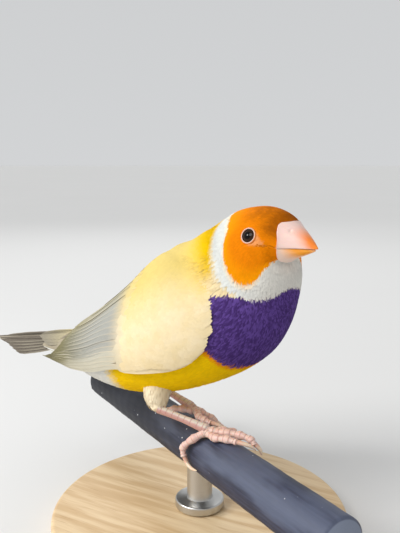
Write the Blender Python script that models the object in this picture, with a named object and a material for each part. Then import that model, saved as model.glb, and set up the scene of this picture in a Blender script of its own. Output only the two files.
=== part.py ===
# Gouldian finch gripping a short perch, life size, held by a plain display stand.
# Sizes below are millimetres and become metres as each mesh is made.
# The bird has its own frame: +X along the body to the bill, +Y to its left, +Z up,
# zero on the mid-plane where the right foot meets its tarsus. The model's origin is
# the middle of the stand's underside.

import math

import bpy
import bmesh
from mathutils import Matrix, Vector

MM = 0.001
GAP = 0.3            # clearance between neighbouring pieces
HALF_GAP = GAP / 2
CLEARANCE = 0.4      # what lies on the body is cut this far clear of it

# Perch and stand
PERCH_RADIUS = 6.4
PERCH_TURN = math.radians(-29.0)   # heading of the perch from the bird's +X
PERCH_MID = Vector((1.21, -4.81, -8.0))
PERCH_BACK = -76.0                 # ends, measured along the perch from PERCH_MID
PERCH_FRONT = 50.0
PERCH_BEVEL = 0.8
ROD_PLACE = -8.0                   # where the rod meets the perch
ROD_RADIUS = 3.6
ROD_HEIGHT = 12.0
ROD_SEAT = 3.8                     # how far the rod's saddle rises round the perch
COLLAR_RADIUS = 7.0
COLLAR_HEIGHT = 2.5
BASE_RADIUS = 42.0
BASE_HEIGHT = 6.0
BASE_BEVEL = 1.2

# Body sections, tail to bill: dorsal x, z, ventral x, z, half width of the body,
# half width over the folded wings. Head sections are given before the head's turn.
BODY = [
    (-66.0, 14.5, -65.0, 10.5, 2.0, 8.2),
    (-58.5, 16.5, -57.5, 9.8, 3.0, 9.2),
    (-52.0, 19.4, -50.5, 8.6, 4.6, 10.0),
    (-46.5, 22.8, -44.5, 6.6, 6.8, 11.0),
    (-39.2, 27.6, -37.0, 5.2, 9.4, 12.6),
    (-31.5, 33.4, -28.5, 4.6, 12.0, 14.6),
    (-24.2, 39.8, -19.0, 5.6, 13.8, 16.2),
    (-17.8, 45.2, -8.5, 8.4, 14.8, 17.1),
    (-12.8, 48.9, 1.5, 12.6, 15.2, 17.4),
    (-8.2, 50.6, 9.6, 17.2, 15.0, 17.0),
    (-5.0, 52.6, 16.0, 22.8, 14.2, 16.0),
    (-3.0, 53.8, 19.8, 29.4, 13.0, 14.6),
    (-0.6, 55.4, 22.0, 36.2, 11.6, 12.0),
    (2.2, 57.2, 23.6, 41.2, 10.2, 10.2),
    (6.0, 59.1, 24.0, 44.2, 9.0, 9.0),
    (11.0, 60.3, 23.6, 45.6, 8.1, 8.1),
    (16.5, 60.7, 23.3, 46.5, 7.4, 7.4),
    (21.5, 60.0, 23.1, 47.1, 6.4, 6.4),
    (26.2, 58.0, 23.2, 47.6, 5.0, 5.0),
]
TAIL_END = 0.3         # places along BODY, counted in sections
RUMP = 2.6
NECK_BASE = 10.6
HEAD_BASE = 12.6
BILL_BASE = 18.0
EGG = 0.10             # how much lower than the middle a section is widest
WING_RISE = 1.7        # height of the folded wings over the back

HEAD_TURN = math.radians(-22.0)
TURN_FROM = 10.4
TURN_TO = 14.0
NECK_PIVOT = Vector((7.0, 0.0, 0.0))

# Eyes, by their place along the body and their angle from the back
EYE_PLACE = 15.24
EYE_ANGLE = math.radians(84)
EYE_RADIUS = 2.6
EYE_DEPTH = 2.1        # eyeball's middle below the feathered surface
LID_RADIUS = 2.2
LID_LIFT = 0.05
LID_THICKNESS = 0.42
LID_SIDES = 16
LID_ROUND = 6

# Bill, before the head's turn
CULMEN_HEIGHT = 57.5
GAPE_HEIGHT = 51.4
CHIN_HEIGHT = 48.0
BILL_TIP = Vector((32.6, 0.0, 51.5))
BILL_HALF_WIDTH = 4.3
BILL_TAPER = 0.85      # below 1 the bill keeps its width towards the tip
BILL_BLUNT = 0.04      # width left at the tip
TIP_DEPTH = 0.45
CULMEN_BULGE = 0.8
GONYS_BULGE = 0.4
BULGE_WAY = (0.28, 0.72)
LOWER_WIDTH = 0.93     # lower half of the bill over the upper half
LOWER_TIP = Vector((-0.9, 0.0, -0.25))
NOSTRIL = (26.6, 2.6, 56.0)
NOSTRIL_RADIUS = 0.55
BILL_RINGS = 9
BILL_ARC = 12

# Folded wing: edges of the wing by section, as angles from the back round the side
WING_TOP = [60, 40, 22, 9, 5, 4, 7, 14, 25, 40, 60]
WING_LOW = [122, 129, 126, 120, 118, 114, 118, 126, 132, 122, 106]
WING_FRONT = 10.45
WING_BACK = 0.95
WING_THICK = 2.2
WING_EDGE = 0.7
WING_TIP_WAY = 0.9     # where the wing tip lies between the upper and lower edge
WING_MID_WAY = 0.5
WING_SHED = 1.53       # how far the shoulder end sinks towards the body
SHOULDER = 0.3         # share of the wing's length that the shoulder takes
WING_END_WIDTH = 0.12
WING_END_ROUND = 2.2   # above 1 the pad keeps its width nearer to its ends
WING_EDGE_ROUND = 2.6
WING_EDGE_DROP = 0.25
WING_RINGS = 17
WING_COLUMNS = 6

# Feathers of the wing: count, first and last root, first and last tip, width, height.
# Roots and tips are a place along the body and a way down from the wing's upper edge.
WING_TIERS = {
    "primaries": (7, ((6.4, 0.97), (6.2, 0.66)), ((0.95, 0.93), (2.2, 0.42)), 3.4, -0.05),
    "secondaries": (5, ((6.6, 0.66), (6.6, 0.30)), ((2.5, 0.40), (2.9, 0.16)), 3.8, 0.12),
    "tertials": (3, ((6.8, 0.30), (6.8, 0.14)), ((2.7, 0.18), (4.2, 0.05)), 4.4, 0.25),
    "greater_coverts": (7, ((7.6, 0.93), (8.2, 0.16)), ((5.6, 0.95), (6.0, 0.10)), 5.0, 0.42),
    "median_coverts": (6, ((8.9, 0.90), (9.4, 0.24)), ((7.3, 0.92), (7.7, 0.15)), 5.2, 0.55),
}
VANE_SHAPE = [(0.0, 0.5), (0.35, 0.9), (0.7, 1.0), (0.9, 0.78), (1.0, 0.16)]
VANE_THICK = 0.55
VANE_TILT = 0.24       # each feather's upper edge dips under the one above it
ROOT_SINK = 0.35
TIP_WAVER = 0.08       # uneven ends within a tier

# Tail
TAIL_ROOT = Vector((-47.0, 0.0, 19.4))
TAIL_SLOPE = math.radians(9.5)
TAIL_ROLL = math.radians(17.0)
TAIL_ROOF = math.radians(38.0)
TAIL_FEATHERS = [(38.0, 0.9), (35.0, 2.0), (33.0, 3.1), (31.0, 4.2), (29.0, 5.2)]
TAIL_FEATHER_WIDTH = 3.6
TAIL_START = 3.0
TAIL_INNER = 0.4       # how far beside the ridge the feathers start
TAIL_LAYER = 0.28      # drop from each feather to the one below it
PIN_REACH = 46.0       # the two long pointed middle feathers
PIN_PLACES = [0.1, 0.4, 0.7, 0.85, 1.0]
PIN_RADII = [1.5, 1.5, 1.0, 0.5, 0.25]
PIN_FLAT = 0.35
PIN_BESIDE = 0.5
PIN_LIFT = Vector((0.0, 0.0, 0.25))

# Legs: heel and foot of each side, and where the thigh leaves the body
THIGH_TOP = {"right": Vector((-16.2, -7.6, 13.0)), "left": Vector((-25.6, 7.0, 12.0))}
HEEL = {"right": Vector((-14.4, -9.6, 4.2)), "left": Vector((-24.4, 6.6, 4.0))}
FOOT = {"right": Vector((0.0, -7.0, 0.0)), "left": Vector((-11.4, 4.0, 0.6))}
THIGH_RADII = [5.6, 5.2, 4.7, 4.1, 3.6, 3.1, 2.6, 1.9]
TARSUS_RADII = [1.3, 1.2, 1.1, 1.15, 1.35, 1.5]
TARSUS_LIFT = Vector((0.0, 0.0, 0.2))
TARSUS_START = 0.4
KNEE_BACK = Vector((-0.8, 0.0, 0.0))
THIGH_END = Vector((0.3, 0.0, -0.4))
TOE_RADIUS = 1.05
TOE_ROOT = 1.12
TOE_TAPER = 0.34
TOE_PAD = 0.08
CLAW_RADIUS = 0.55
CLAW_TAPER = [1.15, 1.0, 0.85, 0.62, 0.28]
CLAW_ROOT = 0.5        # how far each claw is set into its toe

RING_SIDES = 28
CUTTER_SIDES = 20
PERCH_SIDES = 28
LIMB_SIDES = 6

FINISHES = {
    "torso": ((0.78, 0.52, 0.06), 0.75, 0.0),
    "neck": ((0.72, 0.70, 0.62), 0.75, 0.0),
    "head": ((0.75, 0.28, 0.02), 0.7, 0.0),
    "tail": ((0.50, 0.46, 0.36), 0.7, 0.0),
    "wing": ((0.80, 0.72, 0.45), 0.7, 0.0),
    "thigh": ((0.78, 0.72, 0.52), 0.75, 0.0),
    "foot": ((0.72, 0.42, 0.36), 0.5, 0.0),
    "claw": ((0.78, 0.66, 0.52), 0.4, 0.0),
    "bill": ((0.82, 0.58, 0.50), 0.35, 0.0),
    "eye": ((0.015, 0.010, 0.008), 0.08, 0.0),
    "perch": ((0.085, 0.115, 0.19), 0.55, 0.0),
    "base": ((0.60, 0.45, 0.28), 0.5, 0.0),
    "rod": ((0.56, 0.56, 0.55), 0.35, 1.0),
}

for leftover in list(bpy.data.objects):
    bpy.data.objects.remove(leftover, do_unlink=True)

PERCH_ALONG = Vector((math.cos(PERCH_TURN), math.sin(PERCH_TURN), 0.0))
PERCH_SIDE = Vector((-math.sin(PERCH_TURN), math.cos(PERCH_TURN), 0.0))
STAND_FOOT = PERCH_MID + PERCH_ALONG * ROD_PLACE
STAND_FOOT.z -= PERCH_RADIUS + ROD_HEIGHT + BASE_HEIGHT
TO_MODEL = Matrix.Scale(MM, 4) @ Matrix.Translation(-STAND_FOOT)


# Meshes and objects

def finish(obj, kind):
    colour, roughness, metallic = FINISHES[kind]
    material = bpy.data.materials.new(obj.name + "_finish")
    material.use_nodes = True
    shader = material.node_tree.nodes["Principled BSDF"]
    shader.inputs["Base Color"].default_value = (*colour, 1.0)
    shader.inputs["Roughness"].default_value = roughness
    shader.inputs["Metallic"].default_value = metallic
    obj.data.materials.clear()
    obj.data.materials.append(material)


def make_object(name, bm, kind=None):
    bmesh.ops.recalc_face_normals(bm, faces=bm.faces)
    bmesh.ops.transform(bm, matrix=TO_MODEL, verts=bm.verts)
    mesh = bpy.data.meshes.new(name)
    bm.to_mesh(mesh)
    bm.free()
    obj = bpy.data.objects.new(name, mesh)
    bpy.context.collection.objects.link(obj)
    if kind:
        finish(obj, kind)
        mesh.shade_smooth()
        mesh.set_sharp_from_angle(angle=math.radians(40))
    return obj


def rolled_tube(surface, rings, sides):
    """A grid rolled round into a tube, each point placed by surface(ring, side)."""
    bm = bmesh.new()
    bmesh.ops.create_grid(bm, x_segments=rings - 1, y_segments=sides, size=1.0)
    bm.verts.ensure_lookup_table()
    for index, vert in enumerate(bm.verts):
        side, ring = divmod(index, rings)
        vert.co = surface(ring, side % sides)
    bmesh.ops.remove_doubles(bm, verts=bm.verts, dist=1e-4)
    return bm


def close_ends(bm):
    rims = [edge for edge in bm.edges if edge.is_boundary]
    caps = bmesh.ops.holes_fill(bm, edges=rims, sides=0)["faces"]
    wide = [face for face in caps if len(face.verts) > 4]
    if wide:
        bmesh.ops.poke(bm, faces=wide)


def tube(points, radii, sides, flat=1.0, up=Vector((0, 0, 1))):
    """A closed tube along points; flat is its height over its width."""
    count = len(points)

    def surface(ring, side):
        ahead = points[min(ring + 1, count - 1)] - points[max(ring - 1, 0)]
        across = ahead.cross(up).normalized()
        over = across.cross(ahead).normalized()
        turn = 2 * math.pi * side / sides
        offset = across * math.cos(turn) + over * math.sin(turn) * flat
        return points[ring] + offset * radii[ring]

    bm = rolled_tube(surface, count, sides)
    close_ends(bm)
    return bm


def keep_largest(mesh):
    bm = bmesh.new()
    bm.from_mesh(mesh)
    bmesh.ops.remove_doubles(bm, verts=bm.verts, dist=1.2e-6)
    bmesh.ops.triangulate(bm, faces=bm.faces)
    groups = []
    seen = set()
    for start in bm.faces:
        if start in seen:
            continue
        seen.add(start)
        group = [start]
        for face in group:
            for edge in face.edges:
                for other in edge.link_faces:
                    if other not in seen:
                        seen.add(other)
                        group.append(other)
        groups.append(group)
    groups.sort(key=lambda faces: sum(face.calc_area() for face in faces))
    scraps = [face for group in groups[:-1] for face in group]
    if scraps:
        bmesh.ops.delete(bm, geom=scraps, context='FACES')
    bm.to_mesh(mesh)
    bm.free()


def combine(obj, operation, others, solver='EXACT'):
    """One Boolean of obj with a collection of closed objects, applied at once."""
    group = bpy.data.collections.new("pieces")
    for piece in others:
        group.objects.link(piece)
    step = obj.modifiers.new("step", 'BOOLEAN')
    step.operation = operation
    step.operand_type = 'COLLECTION'
    step.collection = group
    step.solver = solver
    depsgraph = bpy.context.evaluated_depsgraph_get()
    mesh = bpy.data.meshes.new_from_object(obj.evaluated_get(depsgraph))
    obj.modifiers.clear()
    old = obj.data
    obj.data = mesh
    bpy.data.meshes.remove(old)
    for piece in others:
        bpy.data.objects.remove(piece)
    bpy.data.collections.remove(group)
    keep_largest(mesh)
    mesh.shade_smooth()
    mesh.set_sharp_from_angle(angle=math.radians(30))


def vane(name, stations):
    """A thin closed blade: each station is its two edge points and its outward side."""
    def surface(ring, step):
        first, second, out = stations[ring]
        edge = first if step in (0, 3) else second
        return edge + out * (VANE_THICK / 2 if step < 2 else -VANE_THICK / 2)

    rings = len(stations)
    bm = rolled_tube(surface, rings, 4)
    bm.faces.ensure_lookup_table()
    under = bm.faces[2 * (rings - 1):3 * (rings - 1)]
    bmesh.ops.triangulate(bm, faces=under, quad_method='ALTERNATE')
    quads = [face for face in bm.faces if len(face.verts) == 4]
    bmesh.ops.triangulate(bm, faces=quads, quad_method='FIXED')
    close_ends(bm)
    return make_object(name, bm)


# The body's own surface

def blend(rows, place):
    """Catmull-Rom value between the rows at a place counted in rows."""
    last = len(rows) - 1
    place = min(max(place, 0.0), float(last))
    start = min(int(place), last - 1)
    t = place - start
    picks = [rows[min(max(start + step, 0), last)] for step in (-1, 0, 1, 2)]
    weights = (
        -0.5 * t + t * t - 0.5 * t ** 3,
        1 - 2.5 * t * t + 1.5 * t ** 3,
        0.5 * t + 2 * t * t - 1.5 * t ** 3,
        -0.5 * t * t + 0.5 * t ** 3,
    )
    if isinstance(rows[0], (int, float)):
        return sum(weight * value for weight, value in zip(weights, picks))
    columns = zip(*picks)
    return [sum(weight * value for weight, value in zip(weights, column)) for column in columns]


def smooth_step(value):
    value = min(max(value, 0.0), 1.0)
    return value * value * (3 - 2 * value)


def head_turned(point, place=BILL_BASE):
    turn = HEAD_TURN * smooth_step((place - TURN_FROM) / (TURN_TO - TURN_FROM))
    return NECK_PIVOT + Matrix.Rotation(turn, 3, 'Z') @ (point - NECK_PIVOT)


def body_point(place, angle, winged=False, grow=0.0):
    """Point at a place along the body and an angle from the back, + to the left."""
    top_x, top_z, low_x, low_z, half, half_winged = blend(BODY, place)
    top = Vector((top_x, 0.0, top_z))
    low = Vector((low_x, 0.0, low_z))
    up = (top - low).normalized()
    if winged:
        half = half_winged
        top += up * WING_RISE
    mid = (top + low) / 2
    height = (top - low).length / 2 + grow
    wide = (half + grow) * (1.0 - EGG * math.cos(angle))
    point = mid + up * (height * math.cos(angle))
    point.y = wide * math.sin(angle)
    return head_turned(point, place)


def body_normal(place, angle, winged=False):
    step = 0.02
    along = body_point(place + step, angle, winged) - body_point(place - step, angle, winged)
    around = body_point(place, angle + step, winged) - body_point(place, angle - step, winged)
    return along.cross(around).normalized()


def ring_normal(place):
    top = body_point(place, 0.0)
    low = body_point(place, math.pi)
    side = body_point(place, math.pi / 2)
    return (side - low).cross(top - low).normalized()


def body_length(name, start, end, rings, trims, grow=0.0, kind=None, sides=RING_SIDES):
    """A closed length of the body; trims say how far its two end faces are set back."""
    def surface(ring, side):
        place = start + (end - start) * ring / (rings - 1)
        point = body_point(place, 2 * math.pi * side / sides, grow=grow)
        if ring == 0:
            point += ring_normal(place) * trims[0]
        if ring == rings - 1:
            point -= ring_normal(place) * trims[1]
        return point

    bm = rolled_tube(surface, rings, sides)
    close_ends(bm)
    return make_object(name, bm, kind)


def make_torso():
    body_length("torso", RUMP, NECK_BASE, 21, (HALF_GAP, HALF_GAP), kind="torso")


def make_neck():
    body_length("neck", NECK_BASE, HEAD_BASE, 6, (HALF_GAP, HALF_GAP), kind="neck")


def grown_body(start, end, rings):
    """The body with clearance round it, a little coarser, for cutting what lies on it."""
    return body_length("clearance", start, end, rings, (0, 0), grow=CLEARANCE, sides=CUTTER_SIDES)


# Head, eyes and bill

def eye_frame(sign):
    """Middle of the eyeball and the outward direction."""
    out = body_normal(EYE_PLACE, sign * EYE_ANGLE)
    return body_point(EYE_PLACE, sign * EYE_ANGLE) - out * EYE_DEPTH, out


def ball(name, centre, radius, kind=None, segments=14, rings=8, axis=Vector((0, 0, 1))):
    bm = bmesh.new()
    turn = axis.to_track_quat('Z', 'Y').to_matrix().to_4x4()
    bmesh.ops.create_uvsphere(bm, u_segments=segments, v_segments=rings, radius=radius,
                              matrix=Matrix.Translation(centre) @ turn)
    return make_object(name, bm, kind)


def make_head():
    head = body_length("head", HEAD_BASE, BILL_BASE, 14, (HALF_GAP, HALF_GAP), kind="head")
    lids = []
    sockets = []
    for side, sign in (("right", -1), ("left", 1)):
        centre, out = eye_frame(sign)
        ball("eye_" + side, centre, EYE_RADIUS, "eye", axis=out)
        sockets.append(ball("socket", centre, EYE_RADIUS + GAP, axis=out))
        across = out.cross(Vector((0, 0, 1))).normalized()
        over = out.cross(across)
        middle = centre + out * (EYE_DEPTH + LID_LIFT)

        def rim(ring, side_step):
            turn = 2 * math.pi * side_step / LID_SIDES
            roll = 2 * math.pi * ring / LID_ROUND
            reach = LID_RADIUS + LID_THICKNESS * math.cos(roll)
            ray = across * math.cos(turn) + over * math.sin(turn)
            return middle + ray * reach + out * (LID_THICKNESS * math.sin(roll))

        bm = rolled_tube(rim, LID_ROUND + 1, LID_SIDES)
        bmesh.ops.remove_doubles(bm, verts=bm.verts, dist=1e-3)
        lids.append(make_object("lid", bm))
    combine(head, 'UNION', lids)
    combine(head, 'DIFFERENCE', sockets)
    return head


def bill_base(height):
    """Point of the bill's base, just clear of the head's front face."""
    top_x, top_z, low_x, low_z = BODY[-1][:4]
    way = (height - low_z) / (top_z - low_z)
    return Vector((low_x + (top_x - low_x) * way + GAP, 0.0, height))


def bill_half(edge_height, tip, bulge, width):
    """One half of the bill: rings from its base to the tip, flat at the mouth."""
    base_mid = bill_base(GAPE_HEIGHT)
    base_edge = bill_base(edge_height)
    sign = 1.0 if edge_height > GAPE_HEIGHT else -1.0
    mouth = Vector((0, 0, sign * HALF_GAP))
    swell = Vector((BULGE_WAY[0], 0, BULGE_WAY[1] * sign)) * bulge

    def surface(ring, side):
        way = ring / (BILL_RINGS - 1)
        foot = base_mid.lerp(tip, way) + mouth
        crest = base_edge.lerp(tip + Vector((0, 0, sign * TIP_DEPTH)), way)
        crest += swell * math.sin(math.pi * way)
        half = width * ((1 - way) ** BILL_TAPER * (1 - BILL_BLUNT) + BILL_BLUNT)
        if side <= BILL_ARC:
            turn = math.pi * side / BILL_ARC
            lift = math.sin(turn) ** 0.9
            point = foot.lerp(crest, lift)
            point.y = half * math.cos(turn)
            return head_turned(point)
        point = foot.copy()
        point.y = half * 0.5 * (side - BILL_ARC - 2)
        return head_turned(point)

    bm = rolled_tube(surface, BILL_RINGS, BILL_ARC + 4)
    close_ends(bm)
    return bm


def make_bill():
    upper = bill_half(CULMEN_HEIGHT, BILL_TIP, CULMEN_BULGE, BILL_HALF_WIDTH)
    nostrils = []
    for sign in (-1, 1):
        spot = head_turned(Vector((NOSTRIL[0], sign * NOSTRIL[1], NOSTRIL[2])))
        nostrils.append(ball("nostril", spot, NOSTRIL_RADIUS, segments=8, rings=6))
    upper = make_object("bill_upper", upper, "bill")
    combine(upper, 'DIFFERENCE', nostrils)
    half_width = BILL_HALF_WIDTH * LOWER_WIDTH
    lower = bill_half(CHIN_HEIGHT, BILL_TIP + LOWER_TIP, GONYS_BULGE, half_width)
    make_object("bill_lower", lower, "bill")


# Folded wings

def wing_angle(place, way):
    return blend(WING_TOP, place) * (1 - way) + blend(WING_LOW, place) * way


def wing_point(sign, place, way, height):
    """Point on the folded wing: way runs 0 at its upper edge to 1 at its lower edge."""
    angle = math.radians(wing_angle(place, way))
    point = body_point(place, sign * angle, winged=True)
    return point + body_normal(place, sign * angle, winged=True) * height


def wing_shed(place):
    """How far the wing's outer side sinks towards the body near the shoulder."""
    from_front = (WING_FRONT - place) / (WING_FRONT - WING_BACK)
    return WING_SHED * (1 - smooth_step(from_front / SHOULDER))


def wing_core(name, sign):
    """The closed pad that the feathers of a wing are rooted in."""
    last = WING_COLUMNS - 1

    def surface(ring, step):
        along = ring / (WING_RINGS - 1)
        place = WING_BACK + (WING_FRONT - WING_BACK) * along
        ends = min(1.0, math.sin(math.pi * min(max(along, 0.012), 0.99)) * WING_END_ROUND)
        gather = WING_TIP_WAY if along < 0.5 else WING_MID_WAY
        outer = step <= last
        way = step / last if outer else (2 * last + 1 - step) / last
        edge = min(1.0, WING_EDGE_ROUND * math.sqrt(max(way * (1 - way), 0.0)))
        thick = WING_EDGE + (WING_THICK - WING_EDGE) * edge * ends
        height = WING_EDGE_DROP * (edge - 1) if outer else -thick
        spread = WING_END_WIDTH + (1 - WING_END_WIDTH) * ends
        way = gather + (way - gather) * spread
        return wing_point(sign, place, way, height - wing_shed(place))

    bm = rolled_tube(surface, WING_RINGS, 2 * WING_COLUMNS)
    close_ends(bm)
    bmesh.ops.triangulate(bm, faces=bm.faces)
    return make_object(name, bm, "wing")


def wing_vane(sign, root, tip, width, height):
    """One feather lying back along the wing, from root to tip as (place, way)."""
    stations = []
    slant = (tip[1] - root[1]) / (tip[0] - root[0])
    for along, wide in VANE_SHAPE:
        place = root[0] + (tip[0] - root[0]) * along
        way = root[1] + (tip[1] - root[1]) * along
        lift = height - ROOT_SINK * (1 - along) - wing_shed(place)
        middle = wing_point(sign, place, way, lift)
        out = body_normal(place, sign * math.radians(wing_angle(place, way)), winged=True)
        ahead = wing_point(sign, place - 0.05, way - slant * 0.05, 0.0)
        behind = wing_point(sign, place + 0.05, way + slant * 0.05, 0.0)
        down = (ahead - behind).cross(out).normalized() * sign
        reach = down * (width / 2 * wide)
        stations.append((middle - reach - out * VANE_TILT, middle + reach + out * VANE_TILT, out))
    return vane("vane", stations)


def wing_tier(sign, count, roots, tips, width, height):
    """A tier of feathers; roots and tips give the first and last (place, way)."""
    blades = []
    for index in range(count):
        way = index / (count - 1)
        root = [roots[0][axis] * (1 - way) + roots[1][axis] * way for axis in (0, 1)]
        tip = [tips[0][axis] * (1 - way) + tips[1][axis] * way for axis in (0, 1)]
        tip[0] += TIP_WAVER * math.sin(2.3 * index)
        blades.append(wing_vane(sign, root, tip, width, height))
    return blades


def make_wing(side, sign):
    wing = wing_core("wing_" + side, sign)
    blades = []
    for tier in WING_TIERS.values():
        blades += wing_tier(sign, *tier)
    combine(wing, 'UNION', blades)
    combine(wing, 'DIFFERENCE', [grown_body(TAIL_END, HEAD_BASE, 19)])


# Tail

def tail_frame(along, across):
    """Point of the roof-shaped, slightly rolled tail; across is + to the left."""
    ridge = TAIL_ROOT + Vector((-math.cos(TAIL_SLOPE), 0, -math.sin(TAIL_SLOPE))) * along
    slope = TAIL_ROOF if across > 0 else -TAIL_ROOF
    lean = TAIL_ROLL - slope
    return ridge + Vector((0, math.cos(lean), math.sin(lean))) * across


def tail_vane(side, reach, spread, layer):
    """One feather of the tail's right or left half, reaching back from under the rump."""
    lean = TAIL_ROLL - side * TAIL_ROOF
    out = Vector((0, -math.sin(lean), math.cos(lean)))
    drop = Vector((0, 0, -TAIL_LAYER * layer))
    stations = []
    for along, wide in VANE_SHAPE:
        back = TAIL_START + (reach - TAIL_START) * along
        across = TAIL_INNER + (spread - TAIL_INNER) * (0.25 + 0.75 * along)
        half = TAIL_FEATHER_WIDTH / 2 * wide
        inner = max(across - half, 0.1)
        first = tail_frame(back, side * inner) + drop
        second = tail_frame(back, side * (across + half)) + drop
        stations.append((first, second, out))
    return vane("vane", stations)


def make_tail():
    core = body_length("tail", TAIL_END, RUMP, 9, (0, HALF_GAP), kind="tail")
    blades = []
    for side in (-1, 1):
        for layer, (reach, spread) in enumerate(TAIL_FEATHERS):
            blades.append(tail_vane(side, reach, spread, layer))
        path = [tail_frame(PIN_REACH * way, side * PIN_BESIDE) + PIN_LIFT for way in PIN_PLACES]
        blades.append(make_object("pin", tube(path, PIN_RADII, LIMB_SIDES, flat=PIN_FLAT)))
    combine(core, 'UNION', blades)


# Legs and feet

def on_perch(along, angle, height):
    """Point over the perch: along it, round it from the top towards the far side, and out."""
    turn = math.radians(angle)
    out = PERCH_SIDE * math.sin(turn) + Vector((0, 0, math.cos(turn)))
    return PERCH_MID + PERCH_ALONG * along + out * (PERCH_RADIUS + height)


TOES = {
    "right": {
        "hind": [(0.0, -24, 1.7), (-1.6, -46, 1.7), (-3.9, -70, 1.7), (-3.3, -88, 1.35)],
        "inner": [(1.2, -10, 1.7), (2.4, 8, 1.6), (2.6, 32, 1.7), (2.2, 54, 1.2)],
        "middle": [(1.6, -12, 1.8), (5.0, 3, 1.9), (8.4, 17, 2.4), (11.4, 26, 2.5), (12.6, 31, 1.7)],
        "outer": [(0.8, -20, 1.6), (4.2, -20, 1.5), (7.8, -8, 1.6), (10.4, 2, 1.4)],
    },
    "left": {
        "hind": [(-14.4, 8, 1.7), (-16.6, -4, 1.7), (-18.8, -17, 1.6), (-20.4, -27, 1.3)],
        "inner": [(-12.4, 14, 1.6), (-9.4, 4, 1.6), (-6.4, 4, 1.6), (-4.6, 12, 1.2)],
        "middle": [(-12.4, 22, 1.8), (-10.2, 42, 1.7), (-8.4, 66, 1.7), (-7.6, 88, 1.4)],
        "outer": [(-13.6, 30, 1.6), (-13.2, 52, 1.6), (-12.6, 76, 1.5), (-12.2, 98, 1.2)],
    },
}
CLAWS = {
    "right": {
        "hind": [(-2.6, -100, 1.05), (-0.4, -106, 1.0), (2.2, -103, 0.85)],
        "inner": [(2.4, 72, 1.0), (3.2, 92, 1.0), (4.4, 108, 0.8)],
        "middle": [(13.2, 38, 1.7), (13.6, 46, 1.3), (13.6, 54, 0.75)],
        "outer": [(11.8, 10, 1.4), (13.0, 22, 1.2), (13.6, 34, 0.75)],
    },
    "left": {
        "hind": [(-21.8, -32, 1.2), (-23.2, -36, 1.1), (-24.6, -38, 0.75)],
        "inner": [(-3.2, 22, 1.3), (-2.2, 34, 1.1), (-1.6, 46, 0.75)],
        "middle": [(-7.2, 106, 1.1), (-7.0, 122, 1.0), (-7.2, 138, 0.8)],
        "outer": [(-12.2, 114, 1.1), (-12.6, 130, 1.0), (-13.2, 145, 0.8)],
    },
}


def smooth_path(points, count):
    rows = [tuple(point) for point in points]
    return [Vector(blend(rows, (len(rows) - 1) * step / (count - 1))) for step in range(count)]


def stretched(path, reach):
    """The same path with both ends carried on by reach."""
    first = path[0] + (path[0] - path[1]).normalized() * reach
    last = path[-1] + (path[-1] - path[-2]).normalized() * reach
    return [first] + path[1:-1] + [last]


def perch_clearance():
    back = PERCH_MID + PERCH_ALONG * PERCH_BACK
    front = PERCH_MID + PERCH_ALONG * PERCH_FRONT
    return cylinder("clearance", PERCH_RADIUS + GAP, back, front, None, PERCH_SIDES)


def make_thigh(side):
    """The feathered thigh, and a cutter that keeps the tarsus clear of it."""
    heel = HEEL[side]
    middle = THIGH_TOP[side].lerp(heel, 0.5) + KNEE_BACK
    path = smooth_path([THIGH_TOP[side], middle, heel + THIGH_END], len(THIGH_RADII))
    forward = Vector((1, 0, 0))
    thigh = make_object("thigh_" + side, tube(path, THIGH_RADII, 12, up=forward), "thigh")
    combine(thigh, 'DIFFERENCE', [grown_body(RUMP, NECK_BASE, 14)])
    wider = [radius + GAP for radius in THIGH_RADII]
    return make_object("clearance", tube(stretched(path, GAP), wider, 12, up=forward))


def make_leg(side):
    heel = HEEL[side]
    foot = FOOT[side]
    cutters = [make_thigh(side), perch_clearance()]
    start = heel + (foot - heel).normalized() * TARSUS_START
    bend = heel.lerp(foot, 0.5) + TARSUS_LIFT
    shank = smooth_path([start, bend, foot + TARSUS_LIFT], len(TARSUS_RADII))
    limb = make_object("foot_" + side, tube(shank, TARSUS_RADII, LIMB_SIDES, flat=0.9), "foot")
    parts = []
    for toe, spots in TOES[side].items():
        knuckles = [on_perch(*spot) for spot in spots]
        path = smooth_path([foot + TARSUS_LIFT * 0.5] + knuckles, 2 * len(spots) + 1)
        radii = []
        for step in range(len(path)):
            way = step / (len(path) - 1)
            pad = TOE_PAD * math.cos(2 * math.pi * way * len(spots))
            radii.append(TOE_RADIUS * (TOE_ROOT - TOE_TAPER * way) + pad)
        parts.append(make_object("toe", tube(path, radii, LIMB_SIDES)))
        nail = [on_perch(*spot) for spot in CLAWS[side][toe]]
        root = path[-1] + (path[-2] - path[-1]).normalized() * CLAW_ROOT
        curve = smooth_path([root] + nail, len(CLAW_TAPER))
        width = [CLAW_RADIUS * value for value in CLAW_TAPER]
        make_object("claw_%s_%s" % (side, toe), tube(curve, width, LIMB_SIDES), "claw")
        wider = [value + GAP for value in width]
        cutters.append(make_object("clearance", tube(stretched(curve, GAP), wider, LIMB_SIDES)))
    combine(limb, 'UNION', parts)
    combine(limb, 'DIFFERENCE', cutters)


# Perch and stand

def cylinder(name, radius, start, end, kind=None, sides=40, bevel=0.0):
    bm = bmesh.new()
    axis = end - start
    turn = axis.to_track_quat('Z', 'Y').to_matrix().to_4x4()
    bmesh.ops.create_cone(bm, cap_ends=True, segments=sides, radius1=radius, radius2=radius,
                          depth=axis.length, matrix=Matrix.Translation((start + end) / 2) @ turn)
    if bevel:
        caps = [face for face in bm.faces if len(face.verts) > 4]
        rims = {edge for face in caps for edge in face.edges}
        bmesh.ops.bevel(bm, geom=list(rims), offset=bevel, segments=1, profile=0.5,
                        affect='EDGES', material=-1)
    return make_object(name, bm, kind)


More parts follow.
